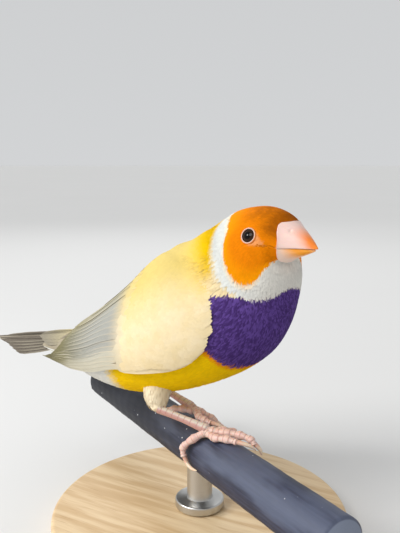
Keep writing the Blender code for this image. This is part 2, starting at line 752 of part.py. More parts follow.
def make_stand():
    back = PERCH_MID + PERCH_ALONG * PERCH_BACK
    front = PERCH_MID + PERCH_ALONG * PERCH_FRONT
    cylinder("perch", PERCH_RADIUS, back, front, "perch", PERCH_SIDES, PERCH_BEVEL)
    base_top = STAND_FOOT + Vector((0, 0, BASE_HEIGHT))
    cylinder("stand_base", BASE_RADIUS, STAND_FOOT, base_top, "base", 44, BASE_BEVEL)
    rod_foot = base_top + Vector((0, 0, GAP))
    collar_top = rod_foot + Vector((0, 0, COLLAR_HEIGHT))
    rod_top = base_top + Vector((0, 0, ROD_HEIGHT + ROD_SEAT))
    rod = cylinder("stand_rod", ROD_RADIUS, rod_foot, rod_top, "rod", 24)
    combine(rod, 'UNION', [cylinder("collar", COLLAR_RADIUS, rod_foot, collar_top, None, 24)])
    combine(rod, 'DIFFERENCE', [perch_clearance()])


make_stand()
make_torso()
make_neck()
make_head()
make_bill()
make_tail()
for wing_side, wing_sign in (("right", -1), ("left", 1)):
    make_wing(wing_side, wing_sign)
    make_leg(wing_side)
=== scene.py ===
# A gouldian finch on a short perch, held by a plain stand: skin, feathers and finishes
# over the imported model. The bird's own frame is in millimetres: +X along the body to the
# bill, +Y to its left, +Z up, zero where the right foot meets its tarsus.

import math

import bmesh
import bpy
import numpy as np
from mathutils import Matrix, Vector


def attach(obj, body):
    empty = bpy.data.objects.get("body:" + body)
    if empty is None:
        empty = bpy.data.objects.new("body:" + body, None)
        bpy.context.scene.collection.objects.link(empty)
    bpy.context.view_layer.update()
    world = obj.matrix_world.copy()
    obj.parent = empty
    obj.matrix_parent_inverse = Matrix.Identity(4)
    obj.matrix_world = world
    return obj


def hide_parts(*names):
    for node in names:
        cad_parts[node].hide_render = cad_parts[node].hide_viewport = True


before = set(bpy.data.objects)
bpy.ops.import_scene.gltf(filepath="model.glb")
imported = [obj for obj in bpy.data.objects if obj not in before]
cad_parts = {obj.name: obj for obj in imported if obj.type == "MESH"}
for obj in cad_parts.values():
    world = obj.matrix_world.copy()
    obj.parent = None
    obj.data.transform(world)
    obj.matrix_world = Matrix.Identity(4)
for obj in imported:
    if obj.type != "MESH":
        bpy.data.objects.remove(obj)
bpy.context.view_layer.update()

perch = {
    "radius": 6.4,
    "turn": math.radians(-29.0),       # heading of the perch from the bird's +X
    "middle": Vector((1.21, -4.81, -8.0)),
    "back": -76.0,
    "front": 50.0,
    "sides": 72,
    "bevel": 0.8,
}
stand = {
    "rodPlace": -8.0,                  # along the perch from its middle
    "rodRadius": 3.6,
    "rodHeight": 12.0,
    "rodSeat": 3.8,
    "rodClear": 0.05,
    "collarRadius": 7.0,
    "collarHeight": 2.5,
    "baseRadius": 42.0,
    "baseHeight": 6.0,
    "gap": 0.3,
}
perchAlong = Vector((math.cos(perch["turn"]), math.sin(perch["turn"]), 0.0))
perchSide = Vector((-perchAlong.y, perchAlong.x, 0.0))
standFoot = perch["middle"] + perchAlong * stand["rodPlace"]
standFoot.z -= perch["radius"] + stand["rodHeight"] + stand["baseHeight"]
toModel = Matrix.Scale(0.001, 4) @ Matrix.Translation(-standFoot)
draw = np.random.default_rng(7)
birdSides = {"right": -1, "left": 1}   # with the sign of their Y


# Shader maths

class Wire:
    def __init__(self, tree, socket):
        self.tree = tree
        self.socket = socket

    def step(self, operation, *items):
        node = self.tree.nodes.new("ShaderNodeMath")
        node.operation = operation
        for slot, item in zip(node.inputs, items):
            if isinstance(item, Wire):
                self.tree.links.new(item.socket, slot)
            else:
                slot.default_value = item
        return Wire(self.tree, node.outputs[0])

    def __add__(self, other):
        return self.step("ADD", self, other)

    __radd__ = __add__

    def __sub__(self, other):
        return self.step("SUBTRACT", self, other)

    def __rsub__(self, other):
        return self.step("SUBTRACT", other, self)

    def __mul__(self, other):
        return self.step("MULTIPLY", self, other)

    __rmul__ = __mul__

    def __pow__(self, other):
        return self.step("POWER", self, other)

    def __abs__(self):
        return self.step("ABSOLUTE", self)

    def sine(self):
        return self.step("SINE", self)

    def most(self, other):
        return self.step("MAXIMUM", self, other)


class Finish:
    def __init__(self, name, **constants):
        self.material = bpy.data.materials.new(name)
        self.material.use_nodes = True
        self.tree = self.material.node_tree
        self.shader = self.tree.nodes["Principled BSDF"]
        for key, value in constants.items():
            self.shader.inputs[key.replace("_", " ")].default_value = value

    def add(self, kind, settings=None, sockets=None, output=0):
        node = self.tree.nodes.new("ShaderNode" + kind)
        for key, value in (settings or {}).items():
            if key == "stops":
                self.fillRamp(node.color_ramp, value)
            elif key == "curve":
                self.fillCurve(node.mapping, value)
            else:
                setattr(node, key, value)
        for key, value in (sockets or {}).items():
            if isinstance(value, Wire):
                self.tree.links.new(value.socket, node.inputs[key])
            else:
                node.inputs[key].default_value = value
        return Wire(self.tree, node.outputs[output])

    def fillRamp(self, ramp, stops):
        while len(ramp.elements) < len(stops):
            ramp.elements.new(0.5)
        for element, (place, colour) in zip(ramp.elements, stops):
            element.position = place
            element.color = (*colour, 1.0)

    def fillCurve(self, mapping, stops):
        points = mapping.curves[0].points
        while len(points) < len(stops):
            points.new(0.5, 0.5)
        for point, (place, value) in zip(points, stops):
            point.location = (place, value)
        mapping.update()

    def feed(self, key, wire):
        self.tree.links.new(wire.socket, self.shader.inputs[key])

    def parts(self, vector):
        split = self.tree.nodes.new("ShaderNodeSeparateXYZ")
        self.tree.links.new(vector.socket, split.inputs[0])
        return [Wire(self.tree, output) for output in split.outputs]

    def attribute(self, name):
        return self.add("Attribute", {"attribute_name": name}, output=1)

    def objectSpot(self):
        return self.add("TexCoord", output=3)

    def ease(self, value, low, high):
        return self.add("MapRange", {"interpolation_type": "SMOOTHSTEP"},
                        {"Value": value, "From Min": low, "From Max": high})

    def mix(self, factor, first, second, blend="MIX"):
        colours = {0: factor, 6: first, 7: second}
        for key in (6, 7):
            if isinstance(colours[key], tuple) and len(colours[key]) == 3:
                colours[key] = (*colours[key], 1.0)
        return self.add("Mix", {"data_type": "RGBA", "blend_type": blend}, colours, 2)

    def shaded(self, colour, shade):
        grey = self.add("CombineXYZ", None, {0: shade, 1: shade, 2: shade})
        return self.mix(1.0, colour, grey, "MULTIPLY")

    def noise(self, vector, scale, detail=2.0, output=0):
        return self.add("TexNoise", None, {"Vector": vector, "Scale": scale, "Detail": detail}, output)

    def stretch(self, vector, scale):
        return self.add("Mapping", None, {"Vector": vector, "Scale": scale})

    def bump(self, height, distance, strength=1.0):
        wire = self.add("Bump", None, {"Height": height, "Distance": distance, "Strength": strength})
        self.feed("Normal", wire)


def paint(red, green, blue):
    # screen values of 0 to 255 as linear light
    return tuple((value / 255.0) ** 2.2 for value in (red, green, blue))


# Meshes

def placed(name, data):
    # an object of a mesh, a camera or a lamp
    obj = bpy.data.objects.new(name, data)
    bpy.context.collection.objects.link(obj)
    return obj


def addObject(name, mesh, finish):
    obj = placed(name, mesh)
    mesh.materials.clear()
    mesh.materials.append(finish)
    mesh.shade_smooth()
    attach(obj, "root")
    return obj


def outward(points, triangles, pieces=1):
    # the faces of equal closed pieces turned so that each piece looks out
    corners = (points - points.mean(axis=0))[triangles]
    volume = np.sum(corners[:, 0] * np.cross(corners[:, 1], corners[:, 2]), axis=-1)
    inside = np.repeat(volume.reshape(pieces, -1).sum(axis=1) < 0, len(triangles) // pieces)
    return np.where(inside[:, None], triangles[:, ::-1], triangles)


def arrayMesh(name, points, triangles, pieces=1):
    triangles = outward(points, triangles, pieces)
    mesh = bpy.data.meshes.new(name)
    points = points @ np.array(toModel.to_3x3()).T + np.array(toModel.translation)
    mesh.vertices.add(len(points))
    mesh.vertices.foreach_set("co", points.astype(np.float32).ravel())
    mesh.loops.add(triangles.size)
    mesh.loops.foreach_set("vertex_index", triangles.astype(np.int32).ravel())
    mesh.polygons.add(len(triangles))
    mesh.polygons.foreach_set("loop_start", np.arange(0, triangles.size, 3, dtype=np.int32))
    mesh.update(calc_edges=True)
    return mesh


def meshOf(name, bm):
    mesh = bpy.data.meshes.new(name)
    bm.to_mesh(mesh)
    bm.free()
    return mesh


def spun(profile, steps, closed=False):
    # a profile of reach and height turned once round +Z
    bm = bmesh.new()
    rim = [bm.verts.new((reach, 0.0, height)) for reach, height in profile]
    pairs = zip(rim, rim[1:] + rim[:1]) if closed else zip(rim, rim[1:])
    edges = [bm.edges.new(pair) for pair in pairs]
    bmesh.ops.spin(bm, geom=rim + edges, axis=(0, 0, 1), cent=(0, 0, 0), angle=2 * math.pi, steps=steps,
                   use_merge=True)
    return bm


def joined(pieces):
    # closed pieces, each turned to look out, as the points and triangles of one mesh
    starts = np.cumsum([0] + [len(points) for points, faces in pieces])
    triangles = [outward(points, faces) + start for (points, faces), start in zip(pieces, starts)]
    return np.concatenate([points for points, faces in pieces]), np.concatenate(triangles)


def noteSpots(mesh, **spots):
    for name, values in spots.items():
        layer = mesh.attributes.new(name, 'FLOAT_VECTOR', 'POINT')
        layer.data.foreach_set("vector", np.asarray(values, np.float32).ravel())


def noteUnwrap(mesh, uv):
    loops = np.empty(len(mesh.loops), np.int32)
    mesh.loops.foreach_get("vertex_index", loops)
    layer = mesh.uv_layers.new(name="OFBake")
    layer.data.foreach_set("uv", np.asarray(uv, np.float32)[loops].ravel())


def taken(bm):
    # places and triangles of a bmesh that isn't needed any more
    bmesh.ops.triangulate(bm, faces=bm.faces)
    bmesh.ops.recalc_face_normals(bm, faces=bm.faces)
    places = np.array([vert.co[:] for vert in bm.verts])
    faces = np.array([[vert.index for vert in face.verts] for face in bm.faces])
    bm.free()
    return places, faces


def closeEnds(points, ring, centre):
    # each end's middle vertex goes to the middle of its rim
    for end in (0.0, 1.0):
        atEnd = np.abs(ring - end) < 1e-6
        points[centre & atEnd] = points[atEnd & ~centre].mean(axis=0)


def rolledMesh(rings, sides):
    # a closed tube: ring and turn from 0 to 1 for each vertex, and the ends' middles
    bm = bmesh.new()
    bmesh.ops.create_cone(bm, cap_ends=True, segments=sides, radius1=1.0, radius2=1.0, depth=rings - 1)
    long = [edge for edge in bm.edges if abs(edge.verts[0].co.z - edge.verts[1].co.z) > 0.5]
    bmesh.ops.subdivide_edges(bm, edges=long, cuts=rings - 2, use_grid_fill=True)
    bmesh.ops.poke(bm, faces=[face for face in bm.faces if len(face.verts) > 4])
    places, faces = taken(bm)
    ring = np.clip(places[:, 2] + (rings - 1) / 2, 0, rings - 1)
    turn = np.arctan2(places[:, 0], places[:, 1]) / (2 * math.pi) % 1.0
    centre = np.hypot(places[:, 0], places[:, 1]) < 0.5
    return ring / (rings - 1), turn, centre, faces


def unit(vectors):
    return vectors / np.maximum(np.linalg.norm(vectors, axis=-1, keepdims=True), 1e-9)


def halfTurn(angle):
    # the same angle between minus and plus half a turn
    return (angle + math.pi) % (2 * math.pi) - math.pi


# The body's own form

bodyForm = {
    # dorsal x, z, ventral x, z, half width of the body, half width over the folded wings
    "sections": np.array([
        (-66.0, 14.5, -65.0, 12.2, 1.6, 8.2),
        (-58.5, 16.5, -57.5, 10.4, 2.9, 9.2),
        (-52.0, 19.4, -50.5, 8.6, 4.6, 10.0),
        (-46.5, 22.8, -44.5, 6.6, 6.8, 11.0),
        (-39.2, 27.6, -37.0, 5.2, 9.4, 12.6),
        (-31.5, 33.4, -28.5, 4.6, 12.0, 14.6),
        (-24.2, 39.8, -19.0, 5.6, 13.8, 16.2),
        (-17.8, 45.2, -8.5, 8.4, 14.8, 17.1),
        (-12.8, 48.9, 1.5, 12.6, 15.2, 17.4),
        (-8.2, 50.6, 9.6, 17.2, 15.0, 17.0),
        (-5.0, 52.6, 16.0, 22.8, 14.2, 16.0),
        (-3.0, 53.8, 19.8, 29.4, 13.0, 14.6),
        (-0.6, 55.4, 22.0, 36.2, 11.6, 12.0),
        (2.2, 57.2, 23.6, 41.2, 10.2, 10.2),
        (6.0, 59.1, 24.0, 44.2, 9.0, 9.0),
        (11.0, 60.3, 23.6, 45.6, 8.1, 8.1),
        (16.5, 60.7, 23.3, 46.5, 7.4, 7.4),
        (21.5, 59.6, 23.1, 47.1, 6.4, 6.4),
        (26.2, 57.1, 23.2, 47.6, 5.0, 5.0),
    ]),
    "tailEnd": 0.3,
    "billBase": 18.0,
    "egg": 0.10,             # how much lower than the middle a section is widest
    "wingRise": ([6.0, 9.0], [1.2, 0.1]),
    "headTurn": math.radians(-22.0),
    "turnFrom": 10.4,
    "turnTo": 14.0,
    "neckPivot": np.array((7.0, 0.0, 0.0)),
}


def smoothStep(value):
    value = np.clip(value, 0.0, 1.0)
    return value * value * (3 - 2 * value)


def blendRows(rows, place):
    rows = np.asarray(rows, float)
    last = len(rows) - 1
    place = np.clip(place, 0.0, float(last))
    start = np.minimum(place.astype(int), last - 1)
    t = place - start
    weights = (
        -0.5 * t + t * t - 0.5 * t ** 3,
        1 - 2.5 * t * t + 1.5 * t ** 3,
        0.5 * t + 2 * t * t - 1.5 * t ** 3,
        -0.5 * t * t + 0.5 * t ** 3,
    )
    total = 0.0
    for step, weight in zip((-1, 0, 1, 2), weights):
        picks = rows[np.clip(start + step, 0, last)]
        total = total + (weight[..., None] if picks.ndim > weight.ndim else weight) * picks
    return total


def headTurned(points, place=None):
    amount = 1.0
    if place is not None:
        span = bodyForm["turnTo"] - bodyForm["turnFrom"]
        amount = smoothStep((place - bodyForm["turnFrom"]) / span)
    turn = bodyForm["headTurn"] * amount
    flat = points - bodyForm["neckPivot"]
    x = flat[..., 0] * np.cos(turn) - flat[..., 1] * np.sin(turn)
    y = flat[..., 0] * np.sin(turn) + flat[..., 1] * np.cos(turn)
    return np.stack([x, y, flat[..., 2]], axis=-1) + bodyForm["neckPivot"]


def bodyFlat(place, angle, winged=False):
    # before the head's turn
    topX, topZ, lowX, lowZ, half, halfWinged = np.moveaxis(blendRows(bodyForm["sections"], place), -1, 0)
    upX, upZ = topX - lowX, topZ - lowZ
    size = np.hypot(upX, upZ)
    upX, upZ = upX / size, upZ / size
    if winged:
        half = halfWinged
        rise = np.interp(place, *bodyForm["wingRise"])
        topX = topX + upX * rise
        topZ = topZ + upZ * rise
        size = size + rise
    reach = size / 2 * np.cos(angle)
    y = half * (1 - bodyForm["egg"] * np.cos(angle)) * np.sin(angle)
    return np.stack([(topX + lowX) / 2 + upX * reach, y, (topZ + lowZ) / 2 + upZ * reach], axis=-1)


def bodyPoints(place, angle, winged=False):
    return headTurned(bodyFlat(place, angle, winged), place)


def bodyNormals(place, angle, winged=False):
    step = 0.02
    along = bodyPoints(place + step, angle, winged) - bodyPoints(place - step, angle, winged)
    around = bodyPoints(place, angle + step, winged) - bodyPoints(place, angle - step, winged)
    return unit(np.cross(along, around))


def stride(place, angle, winged=False):
    # millimetres along the body for one step of place
    arm = bodyPoints(place + 0.5, angle, winged) - bodyPoints(place - 0.5, angle, winged)
    return np.linalg.norm(arm, axis=-1)


def bodySurface(place, angle, height):
    return bodyPoints(place, angle) + bodyNormals(place, angle) * np.asarray(height)[..., None]


# How deep the coat is over the skin, by place from tail to bill
coatDepth = ([0.0, 3.0, 9.0, 11.5, 13.0, 18.3], [0.2, 0.4, 0.5, 0.4, 0.28, 0.22])


def depthAt(place):
    return np.interp(place, *coatDepth)


# Folded wings, edges by section as angles from the back round the side
wingForm = {
    "top": np.array([60, 40, 22, 9, 5, 4, 7, 14, 25, 40, 60]),
    "low": np.array([122, 129, 126, 119, 116, 111, 115, 122, 128, 119, 105]),
    "front": 10.45,
    "back": 0.95,
    "padBack": 1.7,
    "padSide": 0.9,
    "thick": 1.9,
    "edge": 0.5,
    "tipWay": 0.9,
    "shed": 1.9,
    "shoulder": 0.36,
    "blend": 10.0,
    "frontBlend": 1.0,
}


def shedAt(place):
    # how far the wing's front sinks into the flank
    fromFront = (wingForm["front"] - place) / (wingForm["front"] - wingForm["back"])
    return wingForm["shed"] * (1 - smoothStep(fromFront / wingForm["shoulder"]))


def wingSurface(sign):
    def surface(place, way, height):
        top, low = blendRows(wingForm["top"], place), blendRows(wingForm["low"], place)
        angle = np.radians(top * (1 - way) + low * way)
        rise = np.asarray(height - shedAt(place))[..., None]
        return bodyPoints(place, sign * angle, True) + bodyNormals(place, sign * angle, True) * rise
    return surface


def coverSurface(place, angle, height):
    # the outer side over body and folded wings together
    turn = np.abs(halfTurn(angle))
    top = np.radians(blendRows(wingForm["top"], place))
    weight = smoothStep((turn - top) / math.radians(wingForm["blend"]) + 1.0)
    weight = weight * smoothStep((wingForm["front"] - place) / wingForm["frontBlend"] + 1.0)
    normals = bodyNormals(place, angle, True)
    winged = bodyPoints(place, angle, True) - normals * shedAt(place)[..., None]
    weight = weight[..., None]
    out = unit(bodyNormals(place, angle) * (1 - weight) + normals * weight)
    return bodyPoints(place, angle) * (1 - weight) + winged * weight + out * np.asarray(height)[..., None]


def underWing(place, angle):
    # whether the folded wing lies over a spot of the body
    turn = np.abs(halfTurn(angle))
    top = np.radians(blendRows(wingForm["top"], place))
    low = np.radians(blendRows(wingForm["low"], place))
    way = (turn - top) / (low - top)
    return (way > 0) & (way < 1) & (place > wingForm["back"]) & (place < wingForm["front"])


# Feathers

def smallVane(cuts, stations):
    # a three-sided blade one long, closed at its tip: along, across and up of each vertex
    bm = bmesh.new()
    bmesh.ops.create_cone(bm, cap_ends=True, segments=3, radius1=1.0, radius2=1.0, depth=1.0)
    long = [edge for edge in bm.edges if abs(edge.verts[0].co.z - edge.verts[1].co.z) > 0.5]
    bmesh.ops.subdivide_edges(bm, edges=long, cuts=cuts, use_grid_fill=True)
    tip = [vert for vert in bm.verts if vert.co.z > 0.49]
    bmesh.ops.pointmerge(bm, verts=tip, merge_co=Vector((0.0, 0.0, 0.5)))
    places, faces = taken(bm)
    along = np.interp(places[:, 2] + 0.5, np.linspace(0, 1, cuts + 2), stations)
    # the ridge is the corner on the cone's own +Y
    across = places[:, 0] / math.sin(math.pi / 3)
    up = (places[:, 1] + 0.5) / 1.5
    up[along > 0.99] = 0.0
    return along, across, up, faces


def largeVane(rows, columns):
    # a blade one long and two wide, as two closed layers
    bm = bmesh.new()
    bmesh.ops.create_grid(bm, x_segments=rows, y_segments=columns, size=1.0)
    bmesh.ops.solidify(bm, geom=list(bm.faces), thickness=-1.0)
    places, faces = taken(bm)
    up = (places[:, 2] - places[:, 2].min()) / np.ptp(places[:, 2])
    return (places[:, 0] + 1) / 2, places[:, 1], up, faces


def armsAt(surface, place, across, placeStep, acrossStep):
    # how a surface moves from a step before to a step beyond each spot, along and around
    flat = np.zeros_like(place)
    alongArm = surface(place + placeStep, across, flat) - surface(place - placeStep, across, flat)
    aroundArm = surface(place, across + acrossStep, flat) - surface(place, across - acrossStep, flat)
    return alongArm, aroundArm


def scatter(surface, low, high, spacing, cells=(260, 360)):
    # roots spread evenly over a surface: each cell's share is passed on to its neighbours
    placeStep = (high[0] - low[0]) / cells[0]
    acrossStep = (high[1] - low[1]) / cells[1]
    place = low[0] + (np.arange(cells[0]) + 0.5) * placeStep
    across = low[1] + (np.arange(cells[1]) + 0.5) * acrossStep
    places, acrosses = np.meshgrid(place, across, indexing="ij")
    alongArm, aroundArm = armsAt(surface, places, acrosses, placeStep / 2, acrossStep / 2)
    share = np.linalg.norm(np.cross(alongArm, aroundArm), axis=-1) / spacing(places) ** 2
    roots = []
    carry = [0.0] * cells[1]
    left = 0.0
    for row in range(cells[0]):
        owed = [0.0] * cells[1]
        columns = range(cells[1]) if row % 2 else range(cells[1] - 1, -1, -1)
        ahead = 1 if row % 2 else -1
        for column in columns:
            value = share[row, column] + carry[column] + left
            if value > 0.5:
                roots.append((row, column))
                value -= 1.0
            left = value * 7 / 16
            owed[min(max(column - ahead, 0), cells[1] - 1)] += value * 3 / 16
            owed[column] += value * 5 / 16
            owed[min(max(column + ahead, 0), cells[1] - 1)] += value / 16
        carry = owed
    roots = np.array(roots, float)
    jitter = draw.uniform(-0.5, 0.5, roots.shape) * coatShape["jitter"]
    place = low[0] + (roots[:, 0] + 0.5 + jitter[:, 0]) * placeStep
    across = low[1] + (roots[:, 1] + 0.5 + jitter[:, 1]) * acrossStep
    return place, across


vaneWidths = ([0.0, 0.40, 0.74, 0.92, 1.0], [0.5, 1.0, 0.95, 0.6, 0.0])
fineBlade = smallVane(2, [0.0, 0.42, 0.80, 1.0])
roundBlade = smallVane(3, [0.0, 0.40, 0.74, 0.92, 1.0])
coatShape = {
    "ridge": 0.03,                     # how high a feather's middle stands over its edges
    "colourAt": 0.72,                  # the share of its length where its colour is read
    "crease": math.radians(50),
    "patch": 0.003,                    # a feather's own patch in OFBake
    "step": 0.01,
    "jitter": 0.9,
    "sizes": (0.8, 1.2),
    "tips": (-0.08, 0.02),             # tips under and over the coat's surface, by its depth
    "swing": 0.08,
    # a feather is left out where the wing also covers this share of it, this far ahead and beside
    "hidden": (0.4, 0.35, 0.06),
    "overBill": 0.05,
}


def layCoat(name, surface, place, across, look, spots, unwrap, finish, blade=fineBlade):
    # look gives each feather's length, width, root height, tip height and swing
    along, side, up, faces = blade
    step = coatShape["step"]
    alongArm, aroundArm = (arm / (2 * step) for arm in armsAt(surface, place, across, step, step))
    alongSize = np.linalg.norm(alongArm, axis=-1)
    lean = np.sum(alongArm * aroundArm, axis=-1) / alongSize
    aroundSize = np.sqrt(np.maximum(np.sum(aroundArm ** 2, axis=-1) - lean ** 2, 1e-6))
    length, width, rootHeight, tipHeight, swing = look
    reach = along[None, :] * length[:, None]
    beside = side[None, :] * np.interp(along, *vaneWidths)[None, :] * width[:, None] / 2
    back = reach * np.cos(swing)[:, None] + beside * np.sin(swing)[:, None]
    over = beside * np.cos(swing)[:, None] - reach * np.sin(swing)[:, None]
    turn = over / aroundSize[:, None]
    places = place[:, None] - (back + lean[:, None] * turn) / alongSize[:, None]
    acrosses = across[:, None] + turn
    heights = rootHeight[:, None] + (tipHeight - rootHeight)[:, None] * along[None, :]
    heights = heights + up[None, :] * coatShape["ridge"] * np.sqrt(width)[:, None]
    points = surface(places.ravel(), acrosses.ravel(), heights.ravel())
    count, corners = places.shape
    triangles = (faces[None, :, :] + (np.arange(count) * corners)[:, None, None]).reshape(-1, 3)
    mesh = arrayMesh(name, points, triangles, count)
    chance = draw.uniform(0, 1, count)
    coatSpot, birdSpot = spots(place - coatShape["colourAt"] * length / alongSize, across)
    coatSpot[:, 2] = chance
    fromRoot = np.broadcast_to(along[None, :], reach.shape)
    vaneSpot = np.stack([reach, beside, fromRoot], axis=-1).reshape(-1, 3)
    noteSpots(mesh, coatSpot=np.repeat(coatSpot, corners, axis=0),
              birdSpot=np.repeat(birdSpot, corners, axis=0), vaneSpot=vaneSpot)
    rootSpot = unwrap(place, across)
    patch = np.stack([side * coatShape["patch"] / 2, along * coatShape["patch"]], axis=-1)
    uv = rootSpot[:, None, :] + patch[None, :, :]
    noteUnwrap(mesh, np.broadcast_to(uv, (count, corners, 2)).reshape(-1, 2))
    print("feathers", name, count, "triangles", len(triangles))
    piece = addObject(name, mesh, finish)
    mesh.set_sharp_from_angle(angle=coatShape["crease"])
    return piece


def bodySpots(place, angle):
    coatSpot = np.stack([place, np.degrees(np.abs(halfTurn(angle))), np.zeros_like(place)], axis=-1)
    return coatSpot, bodyFlat(place, angle)


def bodyUnwrap(place, angle):
    return np.stack([angle / (2 * math.pi) % 1.0, place / len(bodyForm["sections"])], axis=-1)


# Plumage colours; borders are rows of degrees from the back and of places along the body. Spans
# are where one colour gives way to the next, by place, by degrees from the back or by noise.
plumage = {
    "maskBorder": (
        [0, 27, 50, 65, 75, 83, 95, 108, 120, 130, 139, 145, 152, 165, 180],
        [14.3, 13.95, 13.8, 13.4, 12.5, 12.0, 11.8, 11.9, 12.3, 13.0, 14.3, 15.8, 18.0, 19.5, 19.6],
    ),
    "collarBorder": (
        [0, 30, 45, 60, 70, 80, 87, 95, 110, 125, 135, 152, 165, 174, 180],
        [13.2, 12.7, 12.0, 11.3, 11.0, 10.85, 10.85, 10.95, 11.3, 11.6, 11.85, 12.3, 12.7, 12.87, 12.91],
    ),
    "breastTop": (
        [0, 60, 80, 87, 95, 110, 125, 135, 152, 165, 174, 180],
        [5.0, 8.0, 9.75, 10.1, 10.65, 11.3, 11.65, 11.9, 12.35, 12.75, 12.92, 12.96],
    ),
    "breastBorder": (
        [0, 60, 78, 86, 93, 103, 115, 132, 150, 165, 180],
        [15.0, 13.0, 10.9, 10.0, 9.5, 9.25, 8.75, 8.8, 8.95, 9.2, 9.4],
    ),
    "maskOrange": paint(230, 128, 2),
    "maskBright": paint(246, 152, 2),
    "maskShadeBrown": paint(150, 80, 8),
    "maskRim": paint(250, 226, 190),
    "collarBlue": paint(224, 226, 222),
    "throatGrey": paint(222, 219, 211),
    "napeYellow": paint(234, 190, 6),
    "mantleCream": paint(224, 200, 122),
    "mantleYellow": paint(236, 200, 78),
    "wingCream": paint(240, 218, 170),
    "wingPale": paint(246, 227, 188),
    "breastRim": paint(240, 140, 20),
    "breastPurple": paint(98, 73, 145),
    "breastDeep": paint(74, 52, 111),
    "bellyGold": paint(252, 206, 10),
    "ventWhite": paint(232, 232, 226),
    "tailGrey": paint(168, 158, 138),
    "creamMottle": (0.25, 0.75),
    "creamSide": (40, 92),
    "warmPlace": (8.2, 10.6),
    "warmSide": (50, 96),
    "warmth": 0.6,
    "napePlace": (9.2, 11.1),
    "napeSide": (66, 92),
    "rumpPlace": (1.5, 3.6),
    "ventPlace": (4.6, 5.3),
    "bellySide": (96, 112),
    "rimPlace": (0.22, 0.05),
    "shoulderPlace": (9.2, 9.6),
    "shoulderLow": (106, 118),
    "shoulderHigh": (66, 84),
    "breastMottle": (0.3, 0.7),
    "breastEdge": (-0.06, 0.06),
    "breastSide": (62, 78),
    "throatSide": (95, 150),
    "collarEdge": (-0.07, 0.09),
    "collarSoft": (-0.5, 0.45),
    "collarNape": (70, 95),
    "waver": 0.14,
    "waverNoise": 0.9,
    "mottleNoise": (0.35, 4.0),
    "scatter": 0.1,
    "bodySpread": 0.12,                # between light and dark feathers
    "wingSpread": 0.05,
}
face = {
    "edge": (-0.1, 0.03),
    "rim": (-0.42, -0.12),
    "rimShare": 0.75,
    "bright": (0.0, 1.6),
    # painted shade, streaked brown, towards the bill and in the brow; x, z and degrees from the back
    "streaks": (0.3, 1.0, 1.0),
    "streakNoise": (1.6, 4.0),
    "streakReach": 5,
    "brownFront": (17.5, 23.5),
    "brownSide": (62, 96),
    "browHeight": (55.5, 60.0),
    "browFront": (10.0, 18.0),
    "browMottle": (0.3, 0.6),
    "browShare": 0.7,
    "brownShare": 0.9,
    # bare skin in front of the eye, a wedge that runs down ahead of it
    "side": (3.0, 4.5),
    "eye": (17.3, 53.9),
    "wedgeWay": (0.92, 0.39),
    "wedgeReach": 5.9,
    "wedgeWiden": 0.46,
    "wedgeEdge": (0.0, 0.7),
    "wedgeStart": (0.8, 1.4),
    "wedgeShare": 0.55,
    "wedgePink": paint(236, 170, 120),
    # painted shade along a crease below it, and the gape at its end
    "foldHeight": 51.75,
    "foldEdge": (0.08, 0.24),
    "foldFront": (19.0, 20.4),
    "foldShadeShare": 0.5,
    "gape": (24.1, 51.5),
    "gapeEdge": (0.35, 0.7),
    "gapeShare": 0.7,
    "gapePale": paint(240, 190, 150),
}


def borderAt(finish, angle, stops):
    curve = [(degrees / 180, place / 20) for degrees, place in zip(*stops)]
    return finish.add("FloatCurve", {"curve": curve}, {"Value": angle * (1 / 180)}) * 20


def backColour(finish, place, angle, mottle):
    # yellow nape, cream mantle, pale sides
    pale = finish.ease(mottle, *plumage["creamMottle"])
    cream = finish.mix(pale, plumage["wingCream"], plumage["wingPale"])
    back = finish.mix(finish.ease(angle, *plumage["creamSide"]), plumage["mantleCream"], cream)
    warm = finish.ease(place, *plumage["warmPlace"]) * (1 - finish.ease(angle, *plumage["warmSide"]))
    back = finish.mix(warm * plumage["warmth"], back, plumage["mantleYellow"])
    nape = finish.ease(place, *plumage["napePlace"]) * (1 - finish.ease(angle, *plumage["napeSide"]))
    back = finish.mix(nape, back, plumage["napeYellow"])
    return finish.mix(1 - finish.ease(place, *plumage["rumpPlace"]), back, plumage["tailGrey"])


def frontColour(finish, colour, place, angle, mottle, chance):
    # gold belly, purple breast and the pale shoulder between breast and wing
    border = borderAt(finish, angle, plumage["breastBorder"])
    gold = finish.ease(place, *plumage["ventPlace"])
    below = finish.mix(gold, plumage["ventWhite"], plumage["bellyGold"])
    below = finish.mix(finish.ease(border - place, *plumage["rimPlace"]), below, plumage["breastRim"])
    colour = finish.mix(finish.ease(angle, *plumage["bellySide"]), colour, below)
    shoulder = finish.ease(place, *plumage["shoulderPlace"])
    shoulder = shoulder * (1 - finish.ease(angle, *plumage["shoulderLow"]))
    shoulder = shoulder * finish.ease(angle, *plumage["shoulderHigh"])
    colour = finish.mix(shoulder, colour, plumage["wingCream"])
    tone = finish.ease(mottle * 0.5 + chance * 0.5, *plumage["breastMottle"])
    breast = finish.mix(tone, plumage["breastDeep"], plumage["breastPurple"])
    top = borderAt(finish, angle, plumage["breastTop"])
    mask = finish.ease(place - border, *plumage["breastEdge"])
    mask = mask * finish.ease(top - place, *plumage["breastEdge"])
    return finish.mix(mask * finish.ease(angle, *plumage["breastSide"]), colour, breast)


def collarColour(finish, colour, place, angle):
    # the pale band behind the mask and under the chin, soft over the nape
    grey = finish.ease(angle, *plumage["throatSide"])
    throat = finish.mix(grey, plumage["collarBlue"], plumage["throatGrey"])
    fromEdge = place - borderAt(finish, angle, plumage["collarBorder"])
    sharp = finish.ease(fromEdge, *plumage["collarEdge"])
    soft = finish.ease(fromEdge, *plumage["collarSoft"])
    mask = sharp + (soft - sharp) * (1 - finish.ease(angle, *plumage["collarNape"]))
    return finish.mix(mask, colour, throat)


